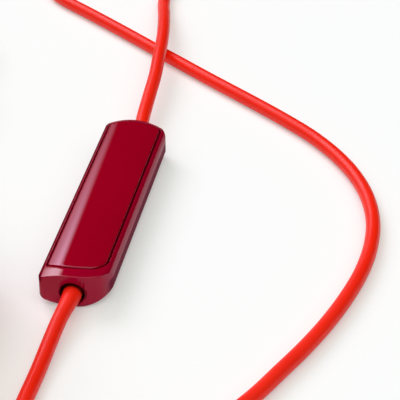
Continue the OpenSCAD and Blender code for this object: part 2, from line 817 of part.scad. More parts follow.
band_1_y = jack_y + jack_sleeve_l;
ring_1_y = band_1_y + jack_band_l;
band_2_y = ring_1_y + jack_ring_l;
ring_2_y = band_2_y + jack_band_l;
band_3_y = ring_2_y + jack_ring_l;
tip_y = band_3_y + jack_band_l;

module jack_sleeve() {
    jack_tube(jack_y, jack_sleeve_l);
}

module jack_ring_inner() {
    jack_tube(ring_1_y, jack_ring_l);
}

module jack_ring_outer() {
    jack_tube(ring_2_y, jack_ring_l);
}

module jack_insulator() {
    color(black) union() {
        on_plug(jack_y) cylinder(h = tip_y - jack_y, d = jack_core_d);
        for (y = [band_1_y, band_2_y, band_3_y]) on_plug(y) cylinder(h = jack_band_l, d = jack_d);
    }
}

// Outline of the tip contact: [share of its radius, share of its length]
jack_tip_form = [[0, 0], [1, 0], [1, 0.12], [0.8, 0.34], [1, 0.56], [0.8, 0.8], [0.4, 1], [0, 1]];

module jack_tip() {
    color(gold) on_plug(tip_y) rotate_extrude()
        polygon([for (p = jack_tip_form) [p[0] * jack_d / 2, p[1] * jack_tip_l]]);
}

// ---------- Earbuds: each is made along +X, its cord relief towards -Y ----------
bud_r = bud_d / 2;
bud_bore_r = bud_r - bud_t;
front_x = trim_w;
cone_x = front_x + front_l;
nozzle_x = cone_x + cone_l;
mouth_x = nozzle_x + nozzle_l;
ridge_r = nozzle_d / 2 + ridge_rise;
nozzle_chamfer = 0.2;
driver_x = -driver_l / 2;
driver_seat_w = 0.4;
driver_wall = 0.6;
diaphragm_gap = 0.1;
tip_reach = 2;
tip_x = mouth_x - tip_l + tip_reach;
// Clearance in front of the cone, and between the nozzle's mouth and the ear tip's lip
sleeve_gap = 0.3;
sleeve_x = nozzle_x + sleeve_gap;
lip_x = mouth_x + sleeve_gap;

module in_bud(at, turn) {
    translate(at) rotate([0, 0, turn]) rotate([bud_slope, 0, 0]) children();
}

module along_x(x) {
    translate([x, 0, 0]) rotate([0, 90, 0]) children();
}

module back_form(inset) {
    r = bud_r - inset;
    length = bud_back_l - inset;
    along_x(-length) rotate_extrude() polygon(concat(
        [[0, 0]],
        [for (i = [0 : arc_steps]) let (a = 90 * i / arc_steps)
            [r - bud_edge_r + bud_edge_r * sin(a), bud_edge_r - bud_edge_r * cos(a)]],
        [[r, length], [0, length]]
    ));
}

module bud_back_shell(at, turn) {
    color(gloss_crimson) in_bud(at, turn) difference() {
        union() {
            back_form(0);
            translate([stem_x, 0, 0]) rotate([90, 0, 0]) cylinder(h = stem_reach, d = stem_d);
        }
        difference() {
            along_x(-bud_back_l + bud_t) cylinder(h = bud_back_l, r = driver_d / 2 - driver_seat_w);
            along_x(-bud_back_l) cylinder(h = bud_back_l + driver_x - magnet_l, d = magnet_d);
        }
        along_x(driver_x) cylinder(h = driver_l, r = bud_bore_r);
    }
}

module bud_trim_ring(at, turn) {
    color(metal) in_bud(at, turn) along_x(0) difference() {
        cylinder(h = trim_w, r = bud_r + trim_rise);
        translate([0, 0, -eps]) cylinder(h = trim_w + 2 * eps, r = bud_bore_r);
    }
}

module bud_front_shell(at, turn) {
    bore_r = nozzle_bore_d / 2;
    nozzle_r = nozzle_d / 2;
    ridge_x = mouth_x - 2 * ridge_l;
    color(gloss_crimson) in_bud(at, turn) rotate([0, 90, 0]) rotate_extrude() polygon([
        [bud_bore_r, front_x], [bud_r, front_x], [bud_r, cone_x], [nozzle_r, nozzle_x],
        [nozzle_r, ridge_x], [ridge_r, ridge_x + ridge_l / 2], [ridge_r, ridge_x + ridge_l],
        [nozzle_r, mouth_x - nozzle_chamfer], [nozzle_r - nozzle_chamfer, mouth_x], [bore_r, mouth_x],
        [bore_r, nozzle_x - bud_t], [bud_bore_r, cone_x - bud_t / 3]
    ]);
}

module bud_boot(at, turn) {
    color(dark_plastic) in_bud(at, turn) translate([stem_x, -stem_reach, 0]) rotate([90, 0, 0])
        relief(bud_boot_d, bud_boot_l);
}

module bud_driver_frame(at, turn) {
    color(black) in_bud(at, turn) along_x(driver_x) difference() {
        cylinder(h = driver_l, d = driver_d);
        translate([0, 0, driver_l / 2]) cylinder(h = driver_l, d = driver_d - 2 * driver_wall);
    }
}

module bud_magnet(at, turn) {
    color(metal) in_bud(at, turn) along_x(driver_x - magnet_l) cylinder(h = magnet_l, d = magnet_d);
}

module bud_diaphragm(at, turn) {
    color(tip_grey) in_bud(at, turn) along_x(driver_x + driver_l / 2)
        cylinder(h = diaphragm_t, d = driver_d - 2 * driver_wall - 2 * diaphragm_gap);
}

module bud_mesh(at, turn) {
    color(metal) in_bud(at, turn) along_x(mouth_x - mesh_inset - mesh_t)
        cylinder(h = mesh_t, d = nozzle_bore_d - 2 * core_gap);
}

// Outside of the ear tip from its skirt to its lip: [share of the way in, share of its length]
tip_dome = [[0, 0], [0.04, 0.17], [0.18, 0.4], [0.4, 0.66], [0.65, 0.86], [0.85, 0.97], [0.93, 1]];
tip_fold = 2.6;
tip_skirt_l = 1.6;
tip_skirt_in = 0.5;

module ear_tip(at, turn) {
    r = tip_d / 2;
    bore_r = ridge_r + tip_gap;
    hole_r = tip_bore_d / 2;
    front = tip_x + tip_l;
    lip = (1 - tip_dome[len(tip_dome) - 1][0]) * (r - hole_r);
    color(tip_grey) in_bud(at, turn) rotate([0, 90, 0]) rotate_extrude() polygon(concat(
        [[bore_r, sleeve_x], [bore_r + sleeve_t, sleeve_x], [bore_r + sleeve_t, front - tip_fold],
            [r - tip_t - tip_skirt_in, tip_x + tip_skirt_l], [r - tip_t, tip_x]],
        [for (p = tip_dome) [r - p[0] * (r - hole_r), tip_x + p[1] * tip_l]],
        [[hole_r, front - lip], [hole_r, lip_x], [bore_r, lip_x]]
    ));
}

module right_bud_back_shell() { bud_back_shell(right_bud_at, right_bud_turn); }
module right_bud_trim_ring() { bud_trim_ring(right_bud_at, right_bud_turn); }
module right_bud_front_shell() { bud_front_shell(right_bud_at, right_bud_turn); }
module right_bud_boot() { bud_boot(right_bud_at, right_bud_turn); }
module right_bud_driver_frame() { bud_driver_frame(right_bud_at, right_bud_turn); }
module right_bud_magnet() { bud_magnet(right_bud_at, right_bud_turn); }
module right_bud_diaphragm() { bud_diaphragm(right_bud_at, right_bud_turn); }
module right_bud_mesh() { bud_mesh(right_bud_at, right_bud_turn); }
module right_ear_tip() { ear_tip(right_bud_at, right_bud_turn); }
module left_bud_back_shell() { bud_back_shell(left_bud_at, left_bud_turn); }
module left_bud_trim_ring() { bud_trim_ring(left_bud_at, left_bud_turn); }
module left_bud_front_shell() { bud_front_shell(left_bud_at, left_bud_turn); }
module left_bud_boot() { bud_boot(left_bud_at, left_bud_turn); }
module left_bud_driver_frame() { bud_driver_frame(left_bud_at, left_bud_turn); }
module left_bud_magnet() { bud_magnet(left_bud_at, left_bud_turn); }
module left_bud_diaphragm() { bud_diaphragm(left_bud_at, left_bud_turn); }
module left_bud_mesh() { bud_mesh(left_bud_at, left_bud_turn); }
module left_ear_tip() { ear_tip(left_bud_at, left_bud_turn); }

remote_upper_shell();
remote_lower_shell();
button_plate();
switch_plunger();
switch_body();
remote_board();
microphone();
cord_anchor_near();
cord_anchor_far();
right_cord_upper();
right_cord_lower();
right_coil();
right_coil_tie();
right_cord_tail();
left_cord_upper();
left_coil();
left_coil_tie();
left_cord_tail();
splitter_upper_shell();
splitter_lower_shell();
splitter_core();
splitter_boot();
main_cord_lead();
main_coil();
main_coil_tie();
main_cord_tail();
plug_boot();
plug_grip();
plug_collar();
jack_sleeve();
jack_insulator();
jack_ring_inner();
jack_ring_outer();
jack_tip();
right_bud_back_shell();
right_bud_trim_ring();
right_bud_front_shell();
right_bud_boot();
right_bud_driver_frame();
right_bud_magnet();
right_bud_diaphragm();
right_bud_mesh();
right_ear_tip();
left_bud_back_shell();
left_bud_trim_ring();
left_bud_front_shell();
left_bud_boot();
left_bud_driver_frame();
left_bud_magnet();
left_bud_diaphragm();
left_bud_mesh();
left_ear_tip();
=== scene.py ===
"""Dresses a pair of wired in-ear earphones with an in-line remote.

Lengths are in metres, angles in degrees.
"""

import logging
import math
from collections.abc import Callable
from dataclasses import dataclass, field, replace
from enum import Enum

import bmesh
import bpy
from mathutils import Matrix, Vector


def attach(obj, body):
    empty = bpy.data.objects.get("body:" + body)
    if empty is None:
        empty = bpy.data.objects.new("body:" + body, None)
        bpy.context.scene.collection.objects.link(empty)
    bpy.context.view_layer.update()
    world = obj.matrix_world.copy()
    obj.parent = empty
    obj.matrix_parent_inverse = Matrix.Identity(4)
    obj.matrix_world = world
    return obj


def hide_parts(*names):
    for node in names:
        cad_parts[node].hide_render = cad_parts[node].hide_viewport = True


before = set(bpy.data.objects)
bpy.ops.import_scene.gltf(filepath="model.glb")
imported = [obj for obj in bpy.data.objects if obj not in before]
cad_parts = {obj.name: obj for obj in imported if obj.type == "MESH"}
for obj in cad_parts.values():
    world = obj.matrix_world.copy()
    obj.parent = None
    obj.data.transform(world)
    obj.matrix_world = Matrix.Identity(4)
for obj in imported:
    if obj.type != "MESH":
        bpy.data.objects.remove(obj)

log = logging.getLogger("earphones")

Colour = tuple[float, float, float]
Point = tuple[float, float, float]
Spot = tuple[float, float]
Corner = tuple[float, ...]
Ring = list[Vector]
Socket = bpy.types.NodeSocket
HAIR = 1e-5  # a length too small to see
CREASE = 32.0  # an edge bent by more degrees than this stays crisp
SOFT_CREASE = 50.0  # the same for a cord
BAND_CREASE = 40.0  # the same for a tie
LEAST_BEND = math.radians(4)  # a corner that bends less stays as it is
CORNER_ROOM = 0.45  # how much of each side a rounded corner may take
EDGE_STEPS = 8  # steps round an edge that is in sight


class Body(Enum):
    """The bodies that pieces ride on."""

    EARPHONES = "earphones"
    BUTTON = "call_button"
    RIGHT_TIP = "right_tip"
    LEFT_TIP = "left_tip"


class Half(Enum):
    """The two halves that a housing is moulded in."""

    UPPER = 1
    LOWER = -1


# ---------- Shapes ----------
class Skin:
    """A mesh made of runs of rings, where every ring of a run has the same number of points."""

    def __init__(self) -> None:
        """Starts an empty mesh."""
        self.mesh = bmesh.new()

    def run(self, rings: list[Ring]) -> list[list[bmesh.types.BMVert]]:
        """Adds rings and joins each to the next.

        Args:
            rings: The rings' points, in order.

        Returns:
            The rings' vertices.
        """
        made = [[self.mesh.verts.new(p) for p in ring] for ring in rings]
        for near, far in zip(made, made[1:], strict=False):
            self.join(near, far)
        return made

    def join(self, near: list[bmesh.types.BMVert], far: list[bmesh.types.BMVert]) -> None:
        """Joins two rings with a band of faces.

        Args:
            near: The first ring's vertices.
            far: The second ring's, as many.
        """
        for i, here in enumerate(near):
            j = (i + 1) % len(near)
            self.mesh.faces.new((here, near[j], far[j], far[i]))

    def solid(self, rings: list[Ring]) -> "Skin":
        """Adds a run of rings that is closed with a face at both ends.

        Args:
            rings: The rings' points, in order.

        Returns:
            The skin itself.
        """
        made = self.run(rings)
        self.mesh.faces.new(made[-1])
        self.mesh.faces.new(list(reversed(made[0])))
        return self

    def loop(self, rings: list[Ring]) -> "Skin":
        """Adds a run of rings whose last ring joins its first.

        Args:
            rings: The rings' points, in order.

        Returns:
            The skin itself.
        """
        made = self.run(rings)
        self.join(made[-1], made[0])
        return self

    def piece(self, name: str, crease: float = CREASE, place: Matrix | None = None) -> bpy.types.Object:
        """Turns the skin into an object with smooth faces and crisp creases.

        Args:
            name: The object's name.
            crease: An edge bent by more than this many degrees stays crisp.
            place: Where the mesh goes, or None where it is built in place.

        Returns:
            The new object, linked to the scene.
        """
        bmesh.ops.recalc_face_normals(self.mesh, faces=self.mesh.faces)
        data = bpy.data.meshes.new(name)
        self.mesh.to_mesh(data)
        self.mesh.free()
        if place is not None:
            data.transform(place)
        return finished(name, data, crease)


def finished(name: str, data: bpy.types.Mesh, crease: float) -> bpy.types.Object:
    """Links a mesh to the scene with even shading.

    Args:
        name: The object's name.
        data: Its mesh.
        crease: An edge bent by more than this many degrees stays crisp.

    Returns:
        The new object.
    """
    piece = bpy.data.objects.new(name, data)
    bpy.context.scene.collection.objects.link(piece)
    even_shading(piece, crease)
    return piece


def even_shading(piece: bpy.types.Object, crease: float) -> None:
    """Shades a piece smoothly, with its broad faces flat and its creases crisp.

    Args:
        piece: The piece.
        crease: An edge bent by more than this many degrees stays crisp.
    """
    piece.data.polygons.foreach_set("use_smooth", [True] * len(piece.data.polygons))
    piece.data.set_sharp_from_angle(angle=math.radians(crease))
    weighted = piece.modifiers.new("broad_faces_first", "WEIGHTED_NORMAL")
    weighted.keep_sharp = True


def cut_out(piece: bpy.types.Object, tools: list[bpy.types.Object], crease: float = CREASE) -> None:
    """Cuts tool shapes out of a piece and throws the tools away.

    Args:
        piece: What is cut.
        tools: The shapes that are taken out of it.
        crease: The crease angle of the result.
    """
    piece.modifiers.clear()
    for tool in tools:
        step = piece.modifiers.new("cut", "BOOLEAN")
        step.object = tool
        step.operation = "DIFFERENCE"
        step.solver = "EXACT"
    shown = piece.evaluated_get(bpy.context.evaluated_depsgraph_get())
    result = bpy.data.meshes.new_from_object(shown)
    piece.modifiers.clear()
    piece.data = result
    for tool in tools:
        bpy.data.objects.remove(tool)
    even_shading(piece, crease)


def arc(centre: Spot, radius: float, start: float, end: float, steps: int) -> list[Spot]:
    """Points on an arc.

    Args:
        centre: The arc's centre.
        radius: Its radius.
        start: Its first angle.
        end: Its last angle.
        steps: How many steps it is split into.

    Returns:
        The points, the first and the last among them.
    """
    angles = [math.radians(start + (end - start) * i / steps) for i in range(steps + 1)]
    return [(centre[0] + radius * math.cos(a), centre[1] + radius * math.sin(a)) for a in angles]


def eased(profile: list[Corner], radius: float, steps: int = 5) -> list[Spot]:
    """Rounds every inner corner of an open profile.

    Args:
        profile: The corners, in order. A corner's third number, if it has one, is its own radius.
        radius: How round the other corners get, where there is room for it.
        steps: How many steps each corner is split into.

    Returns:
        The rounded profile.
    """
    result = [profile[0][:2]]
    for before, corner, after in zip(profile, profile[1:], profile[2:], strict=False):
        a, c, b = Vector(before[:2]), Vector(corner[:2]), Vector(after[:2])
        back, on = a - c, b - c
        bend = math.pi - back.angle(on)
        wanted = corner[2] if len(corner) > 2 else radius
        reach = min(wanted * math.tan(bend / 2), back.length * CORNER_ROOM, on.length * CORNER_ROOM)
        if bend < LEAST_BEND or reach < HAIR / 5:
            result.append(corner[:2])
            continue
        start, end = c + back.normalized() * reach, c + on.normalized() * reach
        for i in range(steps + 1):
            t = i / steps
            p = start * (1 - t) ** 2 + c * 2 * t * (1 - t) + end * t**2
            result.append((p.x, p.y))
    result.append(profile[-1][:2])
    return result


def rod(length: float, radius: float) -> list[Spot]:
    """The profile of a plain rod."""
    return [(0.0, 0.0), (0.0, radius), (length, radius), (length, 0.0)]


def hollow(profile: list[Corner], radius: float) -> list[Spot]:
    """Rounds a profile that ends where it starts, and keeps its end exactly on its start."""
    rounded = eased(profile, radius)
    return [*rounded[:-1], rounded[0]]


def turned(skin: Skin, profile: list[Spot], place: Matrix, sides: int = 64) -> Skin:
    """Turns a profile round the x axis into a skin, like a piece on a lathe.

    Args:
        skin: The skin that it is added to.
        profile: Places along the axis and radii there. It starts and ends on the axis, or where it started.
        place: Where the turned shape goes.
        sides: Points round the axis.

    Returns:
        The skin itself.
    """
    open_ends = [spot for spot in profile if spot[1] > 0]
    tube_like = profile[0] == profile[-1]
    spots = profile[:-1] if tube_like else open_ends
    rings = [[place @ Vector((x, r * math.cos(a), r * math.sin(a))) for a in spread(sides)] for x, r in spots]
    return skin.loop(rings) if tube_like else skin.solid(rings)


def lathe(name: str, profile: list[Spot], place: Matrix, sides: int = 64) -> bpy.types.Object:
    """A single turned piece."""
    return turned(Skin(), profile, place, sides).piece(name)


def turn(degrees: float, axis: str = "Z") -> Matrix:
    """A turn about an axis through the origin."""
    return Matrix.Rotation(math.radians(degrees), 4, axis)


def aimed(at: Point, degrees: float) -> Matrix:
    """A place at a point whose x axis is turned about the upright."""
    return Matrix.Translation(at) @ turn(degrees)


def spread(sides: int) -> list[float]:
    """Even angles round a circle, in radians."""
    return [2 * math.pi * i / sides for i in range(sides)]


def pillar(skin: Skin, y: float, radius: float, heights: Spot, sides: int) -> None:
    """Adds an upright round pillar to a skin.

    Args:
        skin: The skin.
        y: Where the pillar stands along the remote.
        radius: Its radius.
        heights: Its foot and its top.
        sides: Points round it.
    """
    foot = [Vector((radius * math.cos(a), y + radius * math.sin(a), 0)) for a in spread(sides)]
    skin.solid([[p + Vector((0, 0, h)) for p in foot] for h in heights])


@dataclass(frozen=True)
class Outline:
    """A rounded rectangle seen from above, whose ends may be bowed."""

    left: float
    right: float
    near: float
    far: float
    radii: tuple[float, float, float, float]
    near_bow: float = 0.0
    far_bow: float = 0.0
    bow_x: float = 0.0
    bow_half: float = 1.0
    middle: Spot = (0.0, 0.0)
    corner_steps: int = 14
    end_steps: int = 14

    def points(self, inset: float = 0.0) -> list[Spot]:
        """The outline's points, from the far right corner round by the left.

        Args:
            inset: How far inside the outline they lie.

        Returns:
            The points. Their number is the same for every inset.
        """
        left, right = self.left + inset, self.right - inset
        near, far = -self.near + inset, self.far - inset
        room = min(right - left, far - near) / 2
        a, b, c, d = (min(max(r - inset, HAIR), room - HAIR) for r in self.radii)
        far_right = arc((right - a, far - a), a, 0, 90, self.corner_steps)
        far_left = arc((left + b, far - b), b, 90, 180, self.corner_steps)
        near_left = arc((left + c, near + c), c, 180, 270, self.corner_steps)
        near_right = arc((right - d, near + d), d, 270, 360, self.corner_steps)
        plain = far_right + self.between(far_right[-1], far_left[0]) + far_left + near_left
        plain += self.between(near_left[-1], near_right[0]) + near_right
        return [self.bowed(x, y) for x, y in plain]

    def between(self, start: Spot, end: Spot) -> list[Spot]:
        """Points on the straight line between two corners, without its ends."""
        shares = [i / self.end_steps for i in range(1, self.end_steps)]
        return [(start[0] + (end[0] - start[0]) * s, start[1] + (end[1] - start[1]) * s) for s in shares]

    def bowed(self, x: float, y: float) -> Spot:
        """A point after the ends are bowed and the outline is moved to its place.

        Args:
            x: The point across the outline.
            y: The point along it.

        Returns:
            Where the point ends up.
        """
        share = ((x - self.bow_x) / self.bow_half) ** 2
        moved = y + (-self.far_bow if y > 0 else self.near_bow) * share
        return x + self.middle[0], moved + self.middle[1]


@dataclass(frozen=True)
class CrownedTop:
    """The cross-section of a crowned top: a wide arc, a round right edge, and a bevel on the left."""

    top: float
    radius: float
    half_w: float
    left_edge: float
    right_edge: float
    bevel_from: float = 1.0
    bevel_slope: float = 0.0

    def height(self, x: float) -> float:
        """Height of the top at a place across it.

        Args:
            x: The place across.

        Returns:
            The height above the surface.
        """
        if -x > self.bevel_from:
            beyond = -x - self.bevel_from
            bevel = self.height(-self.bevel_from) - beyond * self.bevel_slope
            return bevel - drop(self.half_w + x, self.left_edge)
        edge = self.right_edge if x > 0 else 0.0
        reach = min(abs(x), self.half_w)
        centre = self.half_w - edge
        crown_centre = self.top - self.radius
        joins_at = self.radius * centre / (self.radius - edge) if edge > 0 else self.half_w
        if reach <= joins_at:
            return crown_centre + math.sqrt(self.radius**2 - reach**2)
        rise = math.sqrt((self.radius - edge) ** 2 - centre**2)
        return crown_centre + rise + math.sqrt(max(edge**2 - (reach - centre) ** 2, 0.0))


def drop(inset: float, radius: float) -> float:
    """How far a rounded edge lies below the corner that it rounds off, at an inset from the side."""
    return radius - math.sqrt(max(radius**2 - (radius - inset) ** 2, 0.0)) if inset < radius else 0.0


def edge_insets(radius: float, steps: int) -> list[float]:
    """Insets at which an edge of that radius turns by even angles."""
    return [radius * (1 - math.cos(math.radians(90 * i / steps))) for i in range(steps + 1)]


# ---------- Routes of the cords ----------
def smooth(points: list[Vector], spacing: float) -> Ring:
    """A smooth line through route points.

    Args:
        points: The points that it passes through.
        spacing: About how far apart the line's own points are.

    Returns:
        The line's points.
    """
    line = [points[0]]
    last = len(points) - 1
    for i in range(last):
        a, b, c, d = points[max(i - 1, 0)], points[i], points[i + 1], points[min(i + 2, last)]
        knots = [0.0]
        for p, q in ((a, b), (b, c), (c, d)):
            knots.append(knots[-1] + max((q - p).length, HAIR) ** 0.5)
        t0, t1, t2, t3 = knots
        straight = (c - b) / (t2 - t1)
        leave = straight if i == 0 else (b - a) / (t1 - t0) - (c - a) / (t2 - t0) + straight
        arrive = straight if i + 1 == last else straight - (d - b) / (t3 - t1) + (d - c) / (t3 - t2)
        leave, arrive = leave * (t2 - t1), arrive * (t2 - t1)
        steps = max(1, round((c - b).length / spacing))
        for k in range(1, steps + 1):
            s = k / steps
            leaving = b * (2 * s**3 - 3 * s**2 + 1) + leave * (s**3 - 2 * s**2 + s)
            line.append(leaving + c * (3 * s**2 - 2 * s**3) + arrive * (s**3 - s**2))
    return line


def line_length(line: Ring) -> float:
    """Length of a line of points."""
    return sum((q - p).length for p, q in zip(line, line[1:], strict=False))


def tube(name: str, line: Ring, radius: float, sides: int, swell: float = 0.0) -> bpy.types.Object:
    """A round tube along a line, without twist.

    Args:
        name: The object's name.
        line: Its middle line.
        radius: Its radius.
        sides: Points round it.
        swell: How much thicker its radius is at its start, from where it eases to nothing.

    Returns:
        The new object.
    """
    rings, gone, length = [], 0.0, line_length(line)
    way = (line[1] - line[0]).normalized()
    across = way.cross(Vector((0, 0, 1))).normalized()
    for i, centre in enumerate(line):
        ahead = (line[min(i + 1, len(line) - 1)] - line[max(i - 1, 0)]).normalized()
        across = way.rotation_difference(ahead) @ across
        way = ahead
        up = across.cross(way)
        gone += (centre - line[max(i - 1, 0)]).length
        left = 1.0 - gone / length
        r = radius + swell * left * left * (3 - 2 * left)
        rings.append([centre + (across * math.cos(a) + up * math.sin(a)) * r for a in spread(sides)])
    return Skin().solid(rings).piece(name, SOFT_CREASE)


@dataclass(frozen=True)
class Coil:
    """A neat round coil of cord, wound in layers that spiral in and out by turns."""

    centre: Spot
    outer: float
    start: float
    spin: int
    layers: int
    per_layer: float
    low: float = 0.00155
    pitch: float = 0.0026
    run: float = 0.0021
    points_per_turn: int = 48
    last_point: float = 1e-4

    def line(self) -> Ring:
        """The coil's middle line.

        Returns:
            Its points.
        """
        count = round(self.layers * self.per_layer * self.points_per_turn)
        points = []
        for i in range(count + 1):
            turns = i / self.points_per_turn
            angle = math.radians(self.start + self.spin * 360 * turns)
            r = self.radius_at(turns)
            x, y = self.centre[0] + r * math.cos(angle), self.centre[1] + r * math.sin(angle)
            points.append(Vector((x, y, self.height_at(turns))))
        return points

    def radius_at(self, turns: float) -> float:
        """Distance from the coil's middle after a number of turns.

        Args:
            turns: The turns. A layer's last point still counts to that layer.

        Returns:
            The distance.
        """
        layer = math.floor(turns / self.per_layer - self.last_point)
        within = turns - layer * self.per_layer
        return self.outer - self.pitch * (within if layer % 2 == 0 else self.per_layer - within)

    def height_at(self, turns: float) -> float:
        """Height after a number of turns: each climb takes the half turn round a change of layer.

        Args:
            turns: The turns.

        Returns:
            The height.
        """
        rise = 0.0
        for layer in range(1, self.layers):
            share = min(max((turns - layer * self.per_layer) * 2 + 0.5, 0.0), 1.0)
            rise += share * share * (3 - 2 * share)
        return self.low + self.pitch * rise

    def top(self) -> float:
        """Height of the uppermost layer's middle."""
        return self.low + self.pitch * (self.layers - 1)


def vectors(points: list[Point]) -> Ring:
    """Plain points as vectors."""
    return [Vector(p) for p in points]


# ---------- Materials ----------
class Axis(Enum):
    """The three axes, by their place in a vector."""

    X = 0
    Y = 1
    Z = 2


class Net:
    """The nodes of one material, with short ways to add and join them."""

    def __init__(self, tree: bpy.types.NodeTree) -> None:
        """Starts on a node tree."""
        self.tree = tree

    def add(self, kind: str, **values: object) -> bpy.types.Node:
        """Adds a node.

        Args:
            kind: The node's type name.
            values: Its properties by name.

        Returns:
            The new node.
        """
        node = self.tree.nodes.new(kind)
        for name, value in values.items():
            setattr(node, name, value)
        return node

    def set(self, socket: Socket, value: object) -> None:
        """Gives an input a plain value, or joins an output to it.

        Args:
            socket: The input.
            value: A number, a colour or an output.
        """
        if isinstance(value, Socket):
            self.tree.links.new(value, socket)
        else:
            socket.default_value = value

    def fill(self, node: bpy.types.Node, values: dict[str | int, object]) -> bpy.types.Node:
        """Fills a node's inputs.

        Args:
            node: The node.
            values: Plain values or outputs, by the input's name or number.

        Returns:
            The same node.
        """
        for key, value in values.items():
            self.set(node.inputs[key], value)
        return node

    def maths(self, operation: str, *inputs: object) -> Socket:
        """A Math node.

        Args:
            operation: What it works out.
            inputs: Its values, each a number or an output.

        Returns:
            Its output.
        """
        return self.fill(self.add("ShaderNodeMath", operation=operation), dict(enumerate(inputs))).outputs[0]

    def ramp(
        self, value: Socket, low: float, high: float, to_low: float = 0.0, to_high: float = 1.0
    ) -> Socket:
        """A smooth step of a value from one range to another.

        Args:
            value: What is mapped.
            low: Where the step starts.
            high: Where it ends.
            to_low: What it gives at its start.
            to_high: What it gives at its end.

        Returns:
            The mapped value.
        """
        node = self.add("ShaderNodeMapRange", interpolation_type="SMOOTHSTEP")
        return self.fill(node, dict(enumerate((value, low, high, to_low, to_high)))).outputs[0]

    def place(self) -> Socket:
        """Where the surface point is, in the frame that all pieces share."""
        return self.add("ShaderNodeTexCoord").outputs["Object"]

    def split(self, vector: Socket) -> tuple[Socket, Socket, Socket]:
        """A place or direction as its x, y and z."""
        return tuple(self.fill(self.add("ShaderNodeSeparateXYZ"), {0: vector}).outputs)

    def facing(self, axis: Axis, start: float, end: float) -> Socket:
        """A mask that rises as the surface turns to face along an axis.

        Args:
            axis: The axis.
            start: The part of the surface's normal along it at which the mask starts.
            end: The part at which it is full.

        Returns:
            The mask.
        """
        normal = self.add("ShaderNodeNewGeometry").outputs["Normal"]
        return self.ramp(self.split(normal)[axis.value], start, end)

    def noise(self, place: Socket, per_metre: Socket, detail: float, distortion: float = 0.0) -> Socket:
        """A cloudy pattern.

        Args:
            place: Where it is looked up.
            per_metre: How fine it is.
            detail: How many finer layers it has.
            distortion: How far it is stirred.

        Returns:
            Its value.
        """
        node = self.add("ShaderNodeTexNoise")
        self.fill(node, {"Vector": place, "Scale": per_metre, "Detail": detail, "Distortion": distortion})
        return node.outputs["Fac"]

    def mixed(self, under: Socket | Colour, over: Socket | Colour, mask: Socket) -> Socket:
        """One colour laid over another.

        Args:
            under: The colour where the mask is 0.
            over: The colour where it is 1.
            mask: The mask.

        Returns:
            The colour.
        """
        node = self.add("ShaderNodeMix", data_type="RGBA")
        for name, colour in (("A", under), ("B", over)):
            self.set(node.inputs[name], colour if isinstance(colour, Socket) else (*colour, 1.0))
        return self.fill(node, {"Factor": mask}).outputs["Result"]


@dataclass(frozen=True)
class Effect:
    """A surface effect that more than one material uses: a node group that is built once."""

    name: str
    inputs: dict[str, float]
    build: Callable[[Net, bpy.types.Node], dict[str, Socket]]

    def tree(self) -> bpy.types.NodeTree:
        """The effect's node group.

        Returns:
            The group, built where it isn't there yet.
        """
        if self.name in bpy.data.node_groups:
            return bpy.data.node_groups[self.name]
        tree = bpy.data.node_groups.new(self.name, "ShaderNodeTree")
        net = Net(tree)
        for label, usual in self.inputs.items():
            socket = tree.interface.new_socket(name=label, in_out="INPUT", socket_type="NodeSocketFloat")
            socket.default_value = usual
        given = self.build(net, net.add("NodeGroupInput"))
        for label in given:
            tree.interface.new_socket(name=label, in_out="OUTPUT", socket_type="NodeSocketFloat")
        net.fill(net.add("NodeGroupOutput"), given)
        return tree

    def use(self, net: Net, values: dict[str, float]) -> bpy.types.Node:
        """Places the effect in a material with the material's own values.

        Args:
            net: The material's nodes.
            values: The effect's inputs by name.

        Returns:
            The placed group.
        """
        return net.fill(net.add("ShaderNodeGroup", node_tree=self.tree()), values)


def build_grain(net: Net, taken: bpy.types.Node) -> dict[str, Socket]:
    """Fine moulded grain: a height, and a slow drift for tone.

    Args:
        net: The group's nodes.
        taken: The group's inputs.

    Returns:
        The group's outputs by name.
    """
    place = net.place()
    return {
        "Height": net.noise(place, taken.outputs["Grain per metre"], 3.0),
        "Drift": net.noise(place, taken.outputs["Drift per metre"], 2.0),
    }


def build_handling(net: Net, taken: bpy.types.Node) -> dict[str, Socket]:
    """Traces of handling: a roughness between two limits, with faint smears and hairline scratches.

    Args:
        net: The group's nodes.
        taken: The group's inputs.

    Returns:
        The group's outputs by name.
    """
    place = net.place()
    smear = net.noise(place, taken.outputs["Smears per metre"], 4.0, distortion=0.6)
    slant = {"Vector": place, "Rotation": (0.0, 0.0, math.radians(24)), "Scale": (1.0, 0.06, 1.0)}
    drawn_out = net.fill(net.add("ShaderNodeMapping"), slant).outputs["Vector"]
    lines = net.noise(drawn_out, taken.outputs["Scratches per metre"], 1.0)
    span = net.maths("SUBTRACT", taken.outputs["Most"], taken.outputs["Least"])
    rough = net.maths("MULTIPLY_ADD", span, net.ramp(smear, 0.3, 0.7), taken.outputs["Least"])
    return {"Roughness": rough, "Scratch": net.ramp(lines, 0.68, 0.74)}


def build_dust(net: Net, taken: bpy.types.Node) -> dict[str, Socket]:
    """A trace of dust on what faces up, as a mask.

    Args:
        net: The group's nodes.
        taken: The group's inputs.

    Returns:
        The group's outputs by name.
    """
    specks = net.noise(net.place(), taken.outputs["Specks per metre"], 5.0)
    settled = net.maths("MULTIPLY", net.facing(Axis.Z, 0.3, 1.0), net.ramp(specks, 0.45, 0.75))
    return {"Mask": net.maths("MULTIPLY", settled, taken.outputs["Amount"])}


GRAIN = Effect("moulded_grain", {"Grain per metre": 6000.0, "Drift per metre": 90.0}, build_grain)
HANDLING = Effect(
    "handling_traces",
    {"Least": 0.1, "Most": 0.2, "Smears per metre": 160.0, "Scratches per metre": 900.0},
    build_handling,
)
DUST = Effect("settled_dust", {"Amount": 0.1, "Specks per metre": 1500.0}, build_dust)


